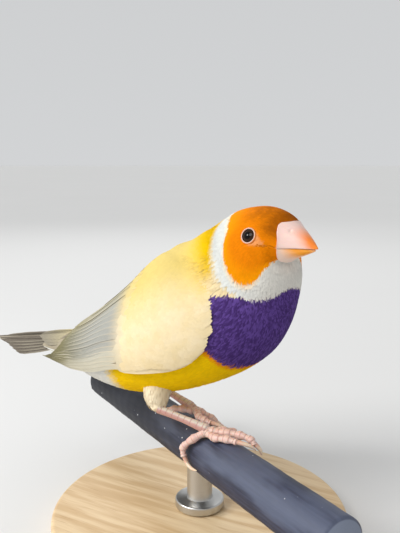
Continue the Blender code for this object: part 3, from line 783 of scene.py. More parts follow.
def maskColour(finish, colour, place, angle, mottle):
    # the orange face with its pale rim, painted shade in brown streaks, and bare skin
    birdSpot = finish.attribute("birdSpot")
    x, y, z = finish.parts(birdSpot)
    fromEdge = place - borderAt(finish, angle, plumage["maskBorder"])
    colour = finish.mix(finish.ease(fromEdge, *face["rim"]) * face["rimShare"], colour, plumage["maskRim"])
    inward = finish.ease(fromEdge, *face["bright"])
    orange = finish.mix(inward, plumage["maskBright"], plumage["maskOrange"])
    # painted shade: streaked brown towards the bill and over the brow
    streaks = finish.noise(finish.stretch(birdSpot, face["streaks"]), *face["streakNoise"])
    brown = finish.ease(x + (streaks - 0.5) * face["streakReach"], *face["brownFront"])
    brown = brown * (1 - finish.ease(angle, *face["brownSide"]))
    brow = finish.ease(z, *face["browHeight"]) * finish.ease(x, *face["browFront"])
    brow = brow * finish.ease(mottle, *face["browMottle"])
    brown = brown.most(brow * face["browShare"]) * face["brownShare"]
    orange = finish.mix(brown, orange, plumage["maskShadeBrown"])

    sideways = finish.ease(abs(y), *face["side"])
    dx = x - face["eye"][0]
    dz = z - face["eye"][1]
    ahead = dx * face["wedgeWay"][0] - dz * face["wedgeWay"][1]
    beside = abs(dx * face["wedgeWay"][1] + dz * face["wedgeWay"][0])
    wedge = finish.ease((face["wedgeReach"] - ahead) * face["wedgeWiden"] - beside, *face["wedgeEdge"])
    wedge = wedge * finish.ease(ahead, *face["wedgeStart"])
    orange = finish.mix(wedge * sideways * face["wedgeShare"], orange, face["wedgePink"])
    # painted shade: a dark line in the crease that runs back from the gape
    foldShade = 1 - finish.ease(abs(z - face["foldHeight"]), *face["foldEdge"])
    foldShade = foldShade * finish.ease(x, *face["foldFront"])
    orange = finish.mix(foldShade * sideways * face["foldShadeShare"], orange, plumage["maskShadeBrown"])
    dx = x - face["gape"][0]
    dz = z - face["gape"][1]
    gape = 1 - finish.ease((dx * dx + dz * dz) ** 0.5, *face["gapeEdge"])
    orange = finish.mix(gape * sideways * face["gapeShare"], orange, face["gapePale"])
    return finish.mix(finish.ease(fromEdge, *face["edge"]), colour, orange)


def plumageColour(finish, winged=False):
    place, angle, chance = finish.parts(finish.attribute("coatSpot"))
    birdSpot = finish.attribute("birdSpot")
    waver = (finish.noise(birdSpot, plumage["waverNoise"]) - 0.5) * plumage["waver"]
    mottle = finish.noise(birdSpot, *plumage["mottleNoise"])
    place = place + waver + (chance - 0.5) * plumage["scatter"]
    colour = backColour(finish, place, angle, mottle)
    if not winged:
        colour = frontColour(finish, colour, place, angle, mottle, chance)
    colour = collarColour(finish, colour, place, angle)
    colour = maskColour(finish, colour, place, angle, mottle)
    spread = plumage["wingSpread" if winged else "bodySpread"]
    return finish.shaded(colour, 1.0 - spread / 2 + chance * spread)


# barbs slant over a feather; small feathers have them fine, wings and tail deep
barbs = {"along": 1.0, "across": 1.2, "turns": 22.0, "strength": 0.5, "fine": 0.00004, "deep": 0.00006}


def featherRelief(finish, distance=barbs["fine"]):
    reach, beside = finish.parts(finish.attribute("vaneSpot"))[:2]
    waves = ((reach * barbs["along"] - abs(beside) * barbs["across"]) * barbs["turns"]).sine()
    finish.bump(waves, distance, barbs["strength"])


def plumageFinish(name, relief, winged=False):
    finish = Finish(name, Roughness=0.75, Specular_IOR_Level=0.06)
    finish.feed("Base Color", plumageColour(finish, winged))
    if relief:
        featherRelief(finish)
    return finish.material


print("stage and camera")

cameraSet = {
    "place": Vector((87.607, -151.568, 103.59)) * 0.001,
    "turn": math.radians(30.0),
    "dip": math.radians(9.0),
    "sensor": 36.0,
    "lens": 651 / 533,                 # focal length in heights of the picture
    "near": 0.005,
}


def makeCamera():
    data = bpy.data.cameras.new("camera")
    data.sensor_fit = 'AUTO'
    data.sensor_width = cameraSet["sensor"]
    data.lens = cameraSet["sensor"] * cameraSet["lens"]
    data.clip_start = cameraSet["near"]
    camera = placed("camera", data)
    camera.location = cameraSet["place"]
    camera.rotation_euler = (math.radians(90) - cameraSet["dip"], 0.0, cameraSet["turn"])
    bpy.context.scene.camera = camera


lamps = {
    "horizon": 0.665,
    "zenith": 0.56,
    "sky": (0.97, 0.985, 1.0, 1.0),
    "sun": {
        "strength": 1.5,
        "angle": math.radians(28),
        "from": Vector((-0.34, -0.78, 0.62)),
        "tint": (1.0, 0.985, 0.96),
    },
    "aim": Vector((0.005, 0.0, 0.065)),
    # place, size, watts, tint
    "area": {
        "sparkle": ((-0.30, -0.24, 0.26), 0.08, 0.7, (1.0, 0.99, 0.97)),
        "rim": ((-0.45, 0.50, 0.55), 0.35, 1.0, (1.0, 1.0, 1.0)),
    },
}


def makeLight():
    world = bpy.data.worlds.new("studio")
    world.use_nodes = True
    nodes = world.node_tree.nodes
    links = world.node_tree.links
    split = nodes.new("ShaderNodeSeparateXYZ")
    rise = nodes.new("ShaderNodeMapRange")
    rise.inputs["To Min"].default_value = lamps["horizon"]
    rise.inputs["To Max"].default_value = lamps["zenith"]
    links.new(nodes.new("ShaderNodeTexCoord").outputs["Generated"], split.inputs[0])
    links.new(split.outputs["Z"], rise.inputs["Value"])
    links.new(rise.outputs[0], nodes["Background"].inputs["Strength"])
    nodes["Background"].inputs["Color"].default_value = lamps["sky"]
    bpy.context.scene.world = world
    bpy.context.scene.view_settings.view_transform = 'Standard'
    data = bpy.data.lights.new("sun", 'SUN')
    data.energy = lamps["sun"]["strength"]
    data.angle = lamps["sun"]["angle"]
    data.color = lamps["sun"]["tint"]
    lamp = placed("sun", data)
    lamp.rotation_euler = lamps["sun"]["from"].to_track_quat('Z', 'Y').to_euler()
    for name, (place, size, watts, tint) in lamps["area"].items():
        data = bpy.data.lights.new(name, 'AREA')
        data.shape = 'DISK'
        data.size = size
        data.energy = watts
        data.color = tint
        lamp = placed(name, data)
        lamp.location = place
        lamp.rotation_euler = (lamps["aim"] - Vector(place)).to_track_quat('-Z', 'Y').to_euler()


floorLook = {"reach": 30.0, "sides": 96, "dark": (0.72, 0.72, 0.715), "pale": (0.75, 0.75, 0.745)}


def makeFloor():
    bm = bmesh.new()
    bmesh.ops.create_circle(bm, cap_ends=True, segments=floorLook["sides"], radius=floorLook["reach"])
    floor = placed("floor", meshOf("floor", bm))
    finish = Finish("paleFloor", Roughness=0.85)
    tone = finish.noise(finish.objectSpot(), 3.0)
    finish.feed("Base Color", finish.mix(tone, floorLook["dark"], floorLook["pale"]))
    floor.data.materials.append(finish.material)


makeCamera()
makeLight()
makeFloor()


print("skin")

skinForm = {"rings": 240, "sides": 132, "chance": 0.3}
skinFinish = plumageFinish("skinPlumage", False)


def makeSkin():
    ring, turn, centre, faces = rolledMesh(skinForm["rings"], skinForm["sides"])
    place = bodyForm["tailEnd"] + (bodyForm["billBase"] - bodyForm["tailEnd"]) * ring
    angle = turn * 2 * math.pi
    points = bodySurface(place, angle, -depthAt(place))
    middle = (bodyPoints(place, np.zeros_like(place)) + bodyPoints(place, np.full_like(place, math.pi))) / 2
    points[centre] = middle[centre]
    mesh = arrayMesh("skin", points, faces)
    coatSpot, birdSpot = bodySpots(place, angle)
    coatSpot[:, 2] = skinForm["chance"]
    noteSpots(mesh, coatSpot=coatSpot, birdSpot=birdSpot)
    return addObject("skin", mesh, skinFinish)


skin = makeSkin()
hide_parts("head", "neck", "torso")


print("coat")

coatFinish = plumageFinish("bodyFeathers", True)
eyeSpot = {"place": 15.24, "angle": math.radians(84), "radius": 2.6, "depth": 2.1, "bare": 2.05}

# the bill's back edge on the face, by the angle from the crown in degrees
billEdge = ([0, 17, 27, 37, 47, 65, 80, 105, 125, 147, 180],
            [17.75, 17.7, 17.6, 17.45, 17.42, 17.55, 17.75, 17.95, 17.85, 17.5, 17.5])

# Regions of the coat: places, length, width and spacing of the feathers, and how far tips lift
coatRegions = {
    "maskFeathers": {"from": 11.6, "to": 18.0, "length": 1.5, "width": 0.42, "spacing": 0.33, "lift": 0.0},
    "breastFeathers": {"from": 8.3, "to": 11.9, "length": 2.5, "width": 0.55, "spacing": 0.46, "lift": 0.0},
    "bellyFeathers": {"from": 4.4, "to": 8.5, "length": 4.2, "width": 1.2, "spacing": 0.85, "lift": 0.05},
    "rumpFeathers": {"from": 0.5, "to": 4.6, "length": 5.0, "width": 1.6, "spacing": 1.0, "lift": 0.05},
}
# the back's feathers fill the slit between the folded wings: height by degrees and by place
rumpRise = {
    "turn": ([0, 8, 24], [0.9, 0.8, 0.0]),
    "place": ([2.4, 4.0, 6.6, 8.0], [0.0, 1.0, 1.0, 0.0]),
    "root": 0.5,
}


def makeCoat(name, region):
    low = (region["from"], -math.pi)
    high = (region["to"], math.pi)
    place, angle = scatter(bodySurface, low, high, lambda place: region["spacing"])
    reach = region["length"] / stride(place, angle)
    # none where a whole feather would lie under the folded wing, on the bill or round an eye
    tipShare, ahead, beside = coatShape["hidden"]
    hidden = underWing(place - reach * tipShare, angle) & underWing(place + ahead, angle)
    clear = ~(hidden & underWing(place, angle - beside) & underWing(place, angle + beside))
    turn = np.degrees(np.abs(halfTurn(angle)))
    clear &= place < np.interp(turn, *billEdge) + coatShape["overBill"]
    points = bodyPoints(place, angle)
    for sign in birdSides.values():
        spot = bodyPoints(np.array([eyeSpot["place"]]), np.array([sign * eyeSpot["angle"]]))
        clear &= np.linalg.norm(points - spot, axis=-1) > eyeSpot["bare"]
    place, angle = place[clear], angle[clear]
    count = len(place)
    vary = draw.uniform(*coatShape["sizes"], (2, count))
    depth = depthAt(place)
    turn = np.degrees(np.abs(halfTurn(angle)))
    slit = np.interp(turn, *rumpRise["turn"]) * np.interp(place, *rumpRise["place"])
    look = (
        region["length"] * vary[0],
        region["width"] * vary[1],
        slit * rumpRise["root"] - depth,
        region["lift"] + slit + draw.uniform(*coatShape["tips"], count) * depth,
        draw.normal(0.0, coatShape["swing"], count),
    )
    layCoat(name, bodySurface, place, angle, look, bodySpots, bodyUnwrap, coatFinish)


for regionName, region in coatRegions.items():
    makeCoat(regionName, region)


coverFinish = plumageFinish("mantleFeathers", True, True)
coverForm = {
    # how far back the tips reach, by the angle from the spine in degrees
    "edge": ([0, 12, 35, 60, 80, 100, 126], [5.4, 6.4, 6.62, 6.3, 6.06, 5.9, 5.8]),
    "spacing": ([5.0, 7.5, 10.8], [0.95, 0.78, 0.56]),
    "length": ([5.0, 7.5, 10.8], [4.6, 3.6, 2.4]),
    "width": ([5.0, 7.5, 10.8], [2.3, 1.75, 1.15]),
    "rise": 0.3,
    "tip": ([5.0, 7.0, 9.5, 10.4, 11.4], [0.12, 0.12, 0.08, 0.06, 0.04]),
    "sizes": (0.9, 1.1),
    "swing": 0.06,
    "back": 5.4,
    "front": 11.6,
    "side": math.radians(132),
    "cells": (220, 260),
    "scallop": (0.08, 0.55),           # height and turns per degree of the lower edge's scallops
    "tips": (-0.02, 0.02),
    "low": 0.975,                      # share of the way down to the wing's lower edge
    # shares of a feather where the wing's lower edge and the breast's border are read
    "lowAt": 0.5,
    "breastAt": 0.7,
    "ragged": 0.12,
}


def makeCover(side, sign):
    low = (coverForm["back"], 0.0)
    high = (coverForm["front"], coverForm["side"])
    place, turn = scatter(coverSurface, low, high, lambda place: np.interp(place, *coverForm["spacing"]),
                          coverForm["cells"])
    length = np.interp(place, *coverForm["length"])
    reach = length / stride(place, turn, True)
    degrees = np.degrees(turn)
    height, waves = coverForm["scallop"]
    edge = np.interp(degrees, *coverForm["edge"]) + height * np.sin(degrees * waves)
    lowest = np.radians(blendRows(wingForm["low"], place - coverForm["lowAt"] * reach)) * coverForm["low"]
    breast = np.interp(degrees, *plumage["breastBorder"])
    breast = breast + draw.normal(0.0, coverForm["ragged"], len(place))
    keep = (place - reach > edge) & (turn < lowest) & (place - reach * coverForm["breastAt"] < breast)
    place, turn, length = place[keep], turn[keep], length[keep]
    count = len(place)
    vary = draw.uniform(*coverForm["sizes"], (2, count))
    tip = np.interp(place, *coverForm["tip"]) + draw.uniform(*coverForm["tips"], count)
    look = (
        length * vary[0],
        np.interp(place, *coverForm["width"]) * vary[1],
        tip - coverForm["rise"],
        tip,
        draw.normal(0.0, coverForm["swing"], count),
    )
    layCoat("mantleCoverts_" + side, coverSurface, place, sign * turn, look, bodySpots, bodyUnwrap,
            coverFinish, roundBlade)


for side, sign in birdSides.items():
    makeCover(side, sign)


print("thighs")

legForm = {
    "thighTop": {"right": (-16.4, -4.2, 10.8), "left": (-25.6, 3.6, 10.2)},
    "heel": {"right": (-14.4, -9.6, 4.2), "left": (-24.4, 6.6, 4.0)},
    "foot": {"right": (0.0, -7.0, 0.0), "left": (-11.4, 4.0, 0.6)},
    "kneeBack": (-0.8, 0.0, 0.0),
    "thighEnd": (0.3, 0.0, -0.4),
    "thighRadii": [1.7, 2.4, 3.1, 3.6, 3.9, 3.9, 3.6, 3.1],     # from the heel up
    "coat": 0.35,
    "length": 3.6,
    "width": 0.75,
    "spacing": 0.5,
    "size": ([0.2, 0.4, 0.7, 1.0], [0.5, 0.75, 1.0, 1.1]),      # smaller towards the heel
    "sizes": (0.75, 1.25),
    "lift": (-0.05, 0.25),
    "swing": 0.16,
    "feathered": (0.24, 0.98),
    "beyond": 0.06,                    # how far past the heel a tip may reach, as a share
}


def aheadOn(path, spot):
    # the direction of a path at shares of its length
    rows = len(path) - 1
    after = blendRows(path, np.clip(spot + 0.01, 0, 1) * rows)
    return unit(after - blendRows(path, np.clip(spot - 0.01, 0, 1) * rows))


def tubeSurface(path, radii, up):
    # a round limb along a path: place 0 to 1 from its first point, turn in radians
    path = np.asarray(path, float)
    radii = np.asarray(radii, float)
    up = np.asarray(up, float)

    def surface(place, turn, height):
        place = np.maximum(place, -legForm["beyond"])
        spot = np.clip(place, 0, 1)
        middle = blendRows(path, spot * (len(path) - 1))
        ahead = aheadOn(path, spot)
        over = unit(up - ahead * np.sum(ahead * up, axis=-1, keepdims=True))
        side = np.cross(ahead, over)
        reach = blendRows(radii, spot * (len(radii) - 1)) + np.asarray(height)
        ray = over * np.cos(turn)[..., None] + side * np.sin(turn)[..., None]
        beyond = (place - spot)[..., None] * np.linalg.norm(path[-1] - path[0])
        return middle + ray * reach[..., None] + ahead * beyond
    return surface


thighLook = {
    "cream": (paint(238, 220, 184), paint(246, 232, 204)),
    "goldPlace": (0.7, 1.0),
    "goldShare": 0.3,
}


def makeThighFinish():
    finish = Finish("thighPlumage", Roughness=0.7, Sheen_Weight=0.1, Specular_IOR_Level=0.15)
    coatSpot = finish.attribute("coatSpot")
    place = finish.parts(coatSpot)[0]
    cream = finish.mix(finish.noise(coatSpot, 3.0), *thighLook["cream"])
    gold = finish.ease(place, *thighLook["goldPlace"]) * thighLook["goldShare"]
    finish.feed("Base Color", finish.mix(gold, cream, plumage["bellyGold"]))
    featherRelief(finish)
    return finish.material


thighFinish = makeThighFinish()


def tubeSpots(place, turn):
    coatSpot = np.stack([place, np.cos(turn), np.zeros_like(place)], axis=-1)
    return coatSpot, np.stack([place * 20, np.cos(turn) * 4, np.sin(turn) * 4], axis=-1)


def tubeUnwrap(place, turn):
    return np.stack([turn / (2 * math.pi) % 1.0, place], axis=-1)


def makeThigh(side):
    top = np.array(legForm["thighTop"][side])
    heel = np.array(legForm["heel"][side])
    middle = (top + heel) / 2 + legForm["kneeBack"]
    path = [heel + legForm["thighEnd"], middle, top]
    surface = tubeSurface(path, legForm["thighRadii"], (1.0, 0.0, 0.0))
    ring, turn, centre, faces = rolledMesh(40, 28)
    turn = turn * 2 * math.pi
    points = surface(ring, turn, np.full_like(ring, -legForm["coat"]))
    closeEnds(points, ring, centre)
    mesh = arrayMesh("thighSkin_" + side, points, faces)
    coatSpot, birdSpot = tubeSpots(ring, turn)
    noteSpots(mesh, coatSpot=coatSpot, birdSpot=birdSpot)
    skinPiece = addObject("thighSkin_" + side, mesh, thighFinish)
    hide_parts("thigh_" + side)

    low = (legForm["feathered"][0], 0.0)
    high = (legForm["feathered"][1], 2 * math.pi)
    place, turn = scatter(surface, low, high, lambda place: legForm["spacing"], (90, 90))
    count = len(place)
    vary = draw.uniform(*legForm["sizes"], (2, count))
    size = np.interp(place, *legForm["size"])
    room = (place + legForm["beyond"]) * np.linalg.norm(top - heel)
    look = (
        np.minimum(legForm["length"] * vary[0] * size, room),
        legForm["width"] * vary[1] * size,
        np.full(count, -legForm["coat"]),
        draw.uniform(*legForm["lift"], count),
        draw.normal(0.0, legForm["swing"], count),
    )
    layCoat("thighFeathers_" + side, surface, place, turn, look, tubeSpots, tubeUnwrap, thighFinish)


for side in birdSides:
    makeThigh(side)


print("wings")

# Tiers: count, first and last root, first and last tip, width, height over the wing.
# Roots and tips are a place along the body and a way down from the wing's upper edge.
wingTiers = {
    "primaries": (9, ((6.4, 0.98), (6.2, 0.62)), ((0.95, 0.93), (2.3, 0.46)), 3.6, -0.40),
    "secondaries": (8, ((6.6, 0.72), (6.6, 0.28)), ((2.1, 0.52), (2.9, 0.18)), 4.0, -0.27),
    "tertials": (3, ((6.8, 0.30), (6.8, 0.12)), ((2.9, 0.20), (4.2, 0.05)), 4.8, -0.16),
    "greaterCoverts": (13, ((8.0, 0.97), (8.4, 0.06)), ((5.55, 0.97), (6.2, 0.05)), 4.6, -0.08),
}
wingLook = {
    "rows": 15,
    "columns": 8,
    "outline": ([0.0, 0.3, 0.7, 0.88, 0.96, 1.0], [0.42, 0.86, 1.0, 0.84, 0.52, 0.0]),
    "thick": 0.05,
    "tilt": 0.04,
    "camber": 0.05,
    "rootSink": 0.4,
    "rachis": 0.10,
    "rachisWidth": 0.12,
    "ragged": 0.05,
    "raggedTurn": 2.3,
}
broadShape = largeVane(wingLook["rows"], wingLook["columns"])


def broadVane(surface, root, tip, width, height, sign, look, number):
    # one feather between two spots of a surface: points, its own coordinates and its root
    along, side, up, faces = broadShape
    root = np.array(root)
    tip = np.array(tip)
    spots = root + (tip - root) * along[:, None]
    before, after = ((spots + (tip - root) * way).T for way in (-0.01, 0.01))
    lift = height - look["rootSink"] * (1 - along)
    middle = surface(*spots.T, lift)
    ahead = unit(surface(*after, lift) - surface(*before, lift))
    out = unit(surface(*spots.T, lift + 0.1) - surface(*spots.T, lift - 0.1))
    down = unit(np.cross(ahead, out)) * sign
    # rows of the tip round off as their width shrinks
    half = np.interp(along, *look["outline"]) * width / 2
    rachis = look["rachis"] * np.exp(-(side / look["rachisWidth"]) ** 2) * (1 - along) ** 0.5
    rise = look["tilt"] * side - look["camber"] * side ** 2 + (look["thick"] + rachis) * up
    points = middle + down * (side * half)[:, None] + out * rise[:, None]
    ends = [surface(spot[:1], spot[1:], np.zeros(1)) for spot in (root, tip)]
    length = np.linalg.norm(ends[0] - ends[1])
    own = np.stack([along * length, side * half, along], axis=-1)
    coat = np.stack([np.full_like(along, spots[0, 0]), np.full_like(along, number), spots[:, 0]], axis=-1)
    return points, faces, own, coat, spots


def joinVanes(name, vanes, finish, unwrap):
    points, triangles = joined([vane[:2] for vane in vanes])
    own, coat, spots = (np.concatenate(parts) for parts in list(zip(*vanes))[2:])
    mesh = arrayMesh(name, points, triangles)
    birdSpot = np.column_stack([spots, np.zeros(len(spots))])
    noteSpots(mesh, vaneSpot=own, coatSpot=coat, birdSpot=birdSpot)
    uv = []
    for vane in vanes:
        side, along = vane[2][:, 1], vane[2][:, 2]
        patch = np.stack([side / np.abs(side).max() / 2, along], axis=-1) * coatShape["patch"]
        uv.append(unwrap(vane[4][np.argmin(along)][None, :]) + patch)
    noteUnwrap(mesh, np.concatenate(uv))
    print("vanes", name, len(vanes), "triangles", len(mesh.polygons))
    piece = addObject(name, mesh, finish)
    mesh.set_sharp_from_angle(angle=coatShape["crease"])
    return piece


def wingUnwrap(spots):
    return np.stack([spots[:, 1], spots[:, 0] / 12.0], axis=-1)


wingPaint = {
    "mottle": (2.2, 3.0),
    "sheen": (paint(122, 116, 82), paint(164, 164, 157)),
    "sheenPlace": (2.2, 4.6),
    # a pale lower edge and a warm upper one, by way down from the wing's upper edge
    "lowPale": paint(208, 202, 180),
    "lowWay": (0.70, 0.88),
    "lowPlace": (1.6, 3.2),
    "lowShare": 0.8,
    "highWarm": paint(178, 166, 116),
    "highWay": (0.10, 0.42),
    "highShare": 0.55,
    "coverPlace": (5.2, 6.3),          # where the colours of the back take over
    "backSide": (20, 100),
    "vaneEdge": (1.3, 1.8),
    "vaneEdgeShare": 0.2,
    "vaneEdgePale": paint(244, 232, 206),
    "shaft": (0.08, 0.2),
    "shaftShare": 0.3,
    "shaftPale": paint(226, 200, 162),
    "spread": (0.95, 0.08),
}


def wingColour(finish):
    number = finish.parts(finish.attribute("coatSpot"))[1]
    place, way = finish.parts(finish.attribute("birdSpot"))[:2]
    beside, along = finish.parts(finish.attribute("vaneSpot"))[1:]
    mottle = finish.noise(finish.attribute("birdSpot"), *wingPaint["mottle"])
    upper = backColour(finish, place, wingPaint["backSide"][0] + way * wingPaint["backSide"][1], mottle)
    sheen = finish.mix(finish.ease(place, *wingPaint["sheenPlace"]), *wingPaint["sheen"])
    low = finish.ease(way, *wingPaint["lowWay"]) * finish.ease(place, *wingPaint["lowPlace"])
    sheen = finish.mix(low * wingPaint["lowShare"], sheen, wingPaint["lowPale"])
    high = 1 - finish.ease(way, *wingPaint["highWay"])
    sheen = finish.mix(high * wingPaint["highShare"], sheen, wingPaint["highWarm"])
    colour = finish.mix(finish.ease(place, *wingPaint["coverPlace"]), sheen, upper)
    edge = finish.ease(abs(beside), *wingPaint["vaneEdge"])
    colour = finish.mix(edge * wingPaint["vaneEdgeShare"], colour, wingPaint["vaneEdgePale"])
    shaft = 1 - finish.ease(abs(beside), *wingPaint["shaft"])
    colour = finish.mix(shaft * (1 - along) * wingPaint["shaftShare"], colour, wingPaint["shaftPale"])
    return finish.shaded(colour, wingPaint["spread"][0] + number * wingPaint["spread"][1])


wingFinish = Finish("wingPlumage", Roughness=0.55, Sheen_Weight=0.06, Specular_IOR_Level=0.2)
wingFinish.feed("Base Color", wingColour(wingFinish))
featherRelief(wingFinish, barbs["deep"])

# the soft pad under a wing's feathers
padForm = {
    "rings": 90,
    "sides": 40,
    "ends": (0.012, 0.99),             # where its ends stop drawing in
    "endSwell": 2.2,
    "endShare": 0.12,
    "edgeSwell": 2.6,
    "under": 0.68,                     # under the wing's surface, and more so at the edges
    "edgeUnder": 0.25,
    "inner": 0.15,
    "tone": 0.4,
}


def makePad(side, surface):
    ring, turn, centre, faces = rolledMesh(padForm["rings"], padForm["sides"])
    place = wingForm["padBack"] + (wingForm["front"] - wingForm["padBack"]) * ring
    ends = np.minimum(1.0, np.sin(math.pi * np.clip(ring, *padForm["ends"])) * padForm["endSwell"])
    gather = np.where(ring < 0.5, wingForm["tipWay"], 0.5)
    outer = turn < 0.5
    way = np.where(outer, turn * 2, 2 - turn * 2)
    edge = np.minimum(1.0, padForm["edgeSwell"] * np.sqrt(np.maximum(way * (1 - way), 0.0)))
    thick = wingForm["edge"] + (wingForm["thick"] - wingForm["edge"]) * edge * ends
    upper = -padForm["under"] - padForm["edgeUnder"] * (1 - edge)
    height = np.where(outer, upper, -thick - padForm["inner"])
    fullness = padForm["endShare"] + (1 - padForm["endShare"]) * ends
    spread = gather + (0.5 + (way - 0.5) * wingForm["padSide"] - gather) * fullness
    points = surface(place, spread, height)
    closeEnds(points, ring, centre)
    mesh = arrayMesh("wingPad_" + side, points, faces)
    noteSpots(mesh, coatSpot=np.stack([place, np.full_like(place, padForm["tone"]), place], axis=-1),
              birdSpot=np.stack([place, spread, np.zeros_like(place)], axis=-1))
    pad = addObject("wingPad_" + side, mesh, wingFinish.material)
    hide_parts("wing_" + side)


def makeWing(side, sign):
    surface = wingSurface(sign)
    makePad(side, surface)
    vanes = []
    for count, roots, tips, width, height in wingTiers.values():
        for index in range(count):
            share = index / (count - 1)
            root, tip = ([first * (1 - share) + last * share for first, last in zip(*spots)]
                         for spots in (roots, tips))
            tip[0] += wingLook["ragged"] * math.sin(wingLook["raggedTurn"] * index)
            vanes.append(broadVane(surface, root, tip, width, height, sign, wingLook, draw.uniform(0, 1)))
    joinVanes("wingFeathers_" + side, vanes, wingFinish.material, wingUnwrap)


for side, sign in birdSides.items():
    makeWing(side, sign)


print("tail")

tailForm = {
    "root": np.array((-47.0, 0.0, 19.4)),
    "slope": math.radians(9.5),
    "roll": math.radians(17.0),
    "roof": math.radians(38.0),
    "feathers": [(38.0, 0.9), (35.0, 2.0), (33.0, 3.1), (31.0, 4.2), (29.0, 5.2)],
    "coverts": [(19.0, 0.8), (17.5, 1.9), (16.0, 3.0)],
    "covertWidth": 3.4,
    "covertRise": 0.75,
    "width": 3.7,
    "start": 3.0,
    "inner": 0.4,
    "layer": 0.28,
    "startBack": 6.0,                  # how far the hidden roots lie before the tail's own root
    "rootSpread": 0.25,
    "covertSpread": 0.4,
    "covertLayer": 0.12,
    "covertNumber": 1.5,               # tells the coverts' colour from the long feathers'
    "pinRoot": (4.0, 0.3),
    "pinTip": (-46.0, 0.4),
    "pinRise": 0.3,
    "pinWidth": 2.6,
}
tailLook = dict(wingLook, tilt=0.0, rootSink=0.0)
pinLook = dict(tailLook, outline=([0.0, 0.3, 0.62, 0.8, 1.0], [0.5, 1.0, 0.8, 0.36, 0.0]))


def tailSurface(side):
    lean = tailForm["roll"] - side * tailForm["roof"]

    def surface(place, across, height):
        # place runs back from the tail's root in millimetres, as a negative number
        back = np.array((math.cos(tailForm["slope"]), 0.0, math.sin(tailForm["slope"])))
        ridge = tailForm["root"] + place[..., None] * back
        sideways = np.array((0.0, math.cos(lean), math.sin(lean))) * side
        out = np.array((0.0, -math.sin(lean), math.cos(lean)))
        return ridge + sideways * across[..., None] + out * np.asarray(height)[..., None]
    return surface


tailPaint = {
    "grain": (0.2, 2.0, 1.0),
    "grainNoise": (1.6, 4.0),
    # grey-brown, partly darkened with painted shade
    "dark": (paint(88, 80, 70), paint(118, 108, 94)),
    "edge": (1.1, 1.7),
    "edgePale": paint(140, 132, 116),
    "shaft": (0.1, 0.22),
    "shaftPale": paint(158, 148, 132),
    "covert": (paint(196, 184, 144), paint(142, 134, 118)),
    "covertAlong": (0.3, 1.0),
    "covertNumber": (1.2, 1.4),
}


def makeTailFinish():
    finish = Finish("tailPlumage", Roughness=0.55, Sheen_Weight=0.15, Specular_IOR_Level=0.35)
    vaneSpot = finish.attribute("vaneSpot")
    beside, along = finish.parts(vaneSpot)[1:]
    number = finish.parts(finish.attribute("coatSpot"))[1]
    tone = finish.noise(finish.stretch(vaneSpot, tailPaint["grain"]), *tailPaint["grainNoise"])
    # grey-brown vanes, partly darkened as painted shade
    colour = finish.mix(tone, *tailPaint["dark"])
    colour = finish.mix(finish.ease(abs(beside), *tailPaint["edge"]), colour, tailPaint["edgePale"])
    colour = finish.mix(1 - finish.ease(abs(beside), *tailPaint["shaft"]), colour, tailPaint["shaftPale"])
    covert = finish.mix(finish.ease(along, *tailPaint["covertAlong"]), *tailPaint["covert"])
    colour = finish.mix(finish.ease(number, *tailPaint["covertNumber"]), colour, covert)
    finish.feed("Base Color", colour)
    featherRelief(finish, barbs["deep"])
    return finish.material


def tailUnwrap(spots):
    return np.stack([spots[:, 1] / 20 + 0.5, -spots[:, 0] / 60 + 0.1], axis=-1)


def makeTail():
    vanes = []
    for side in (-1, 1):
        surface = tailSurface(side)
        start = tailForm["startBack"] - tailForm["start"]
        for layer, (reach, spread) in enumerate(tailForm["feathers"]):
            root = (start, tailForm["inner"] + (spread - tailForm["inner"]) * tailForm["rootSpread"])
            vanes.append(broadVane(surface, root, (-reach, spread), tailForm["width"],
                                   -tailForm["layer"] * layer, -side, tailLook, draw.uniform(0, 1)))
            vanes[-1][4][:, 1] *= side
        for layer, (reach, spread) in enumerate(tailForm["coverts"]):
            root = (tailForm["startBack"], spread * tailForm["covertSpread"])
            rise = tailForm["covertRise"] - tailForm["covertLayer"] * layer
            vanes.append(broadVane(surface, root, (-reach, spread), tailForm["covertWidth"], rise, -side,
                                   tailLook, tailForm["covertNumber"]))
            vanes[-1][4][:, 1] *= side
        vanes.append(broadVane(surface, tailForm["pinRoot"], tailForm["pinTip"], tailForm["pinWidth"],
                               tailForm["pinRise"], -side, pinLook, draw.uniform(0, 1)))
    tail = joinVanes("tailFeathers", vanes, makeTailFinish(), tailUnwrap)
    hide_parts("tail")


makeTail()


print("bill")

billForm = {
    "culmen": 56.8,
    "gape": 51.4,
    "chin": 48.0,
    "tip": np.array((32.6, 0.0, 51.5)),
    "lowerTip": np.array((-0.7, 0.0, -0.1)),
    "halfWidth": 4.3,
    "lowerWidth": 0.93,
    "taper": 0.85,
    "blunt": 0.04,
    "tipDepth": 0.45,
    "culmenBulge": 0.35,
    "gonysBulge": 0.25,
    "bulgeWay": (0.28, 0.72),
    "mouth": 0.03,
    "nostril": np.array((26.4, 2.7, 55.5)),
    "nostrilSize": 0.42,
    "nostrilDepth": 0.18,
    "nostrilDrop": 0.5,
    "roundness": 0.9,
    "arc": 0.75,             # share of the sides that the outer skin takes
    "over": 0.12,
    "join": 0.7,
    "skirt": 0.04,
    "dip": 0.05,
    "inFace": 0.5,
    "gapeAngle": math.radians(105),
}


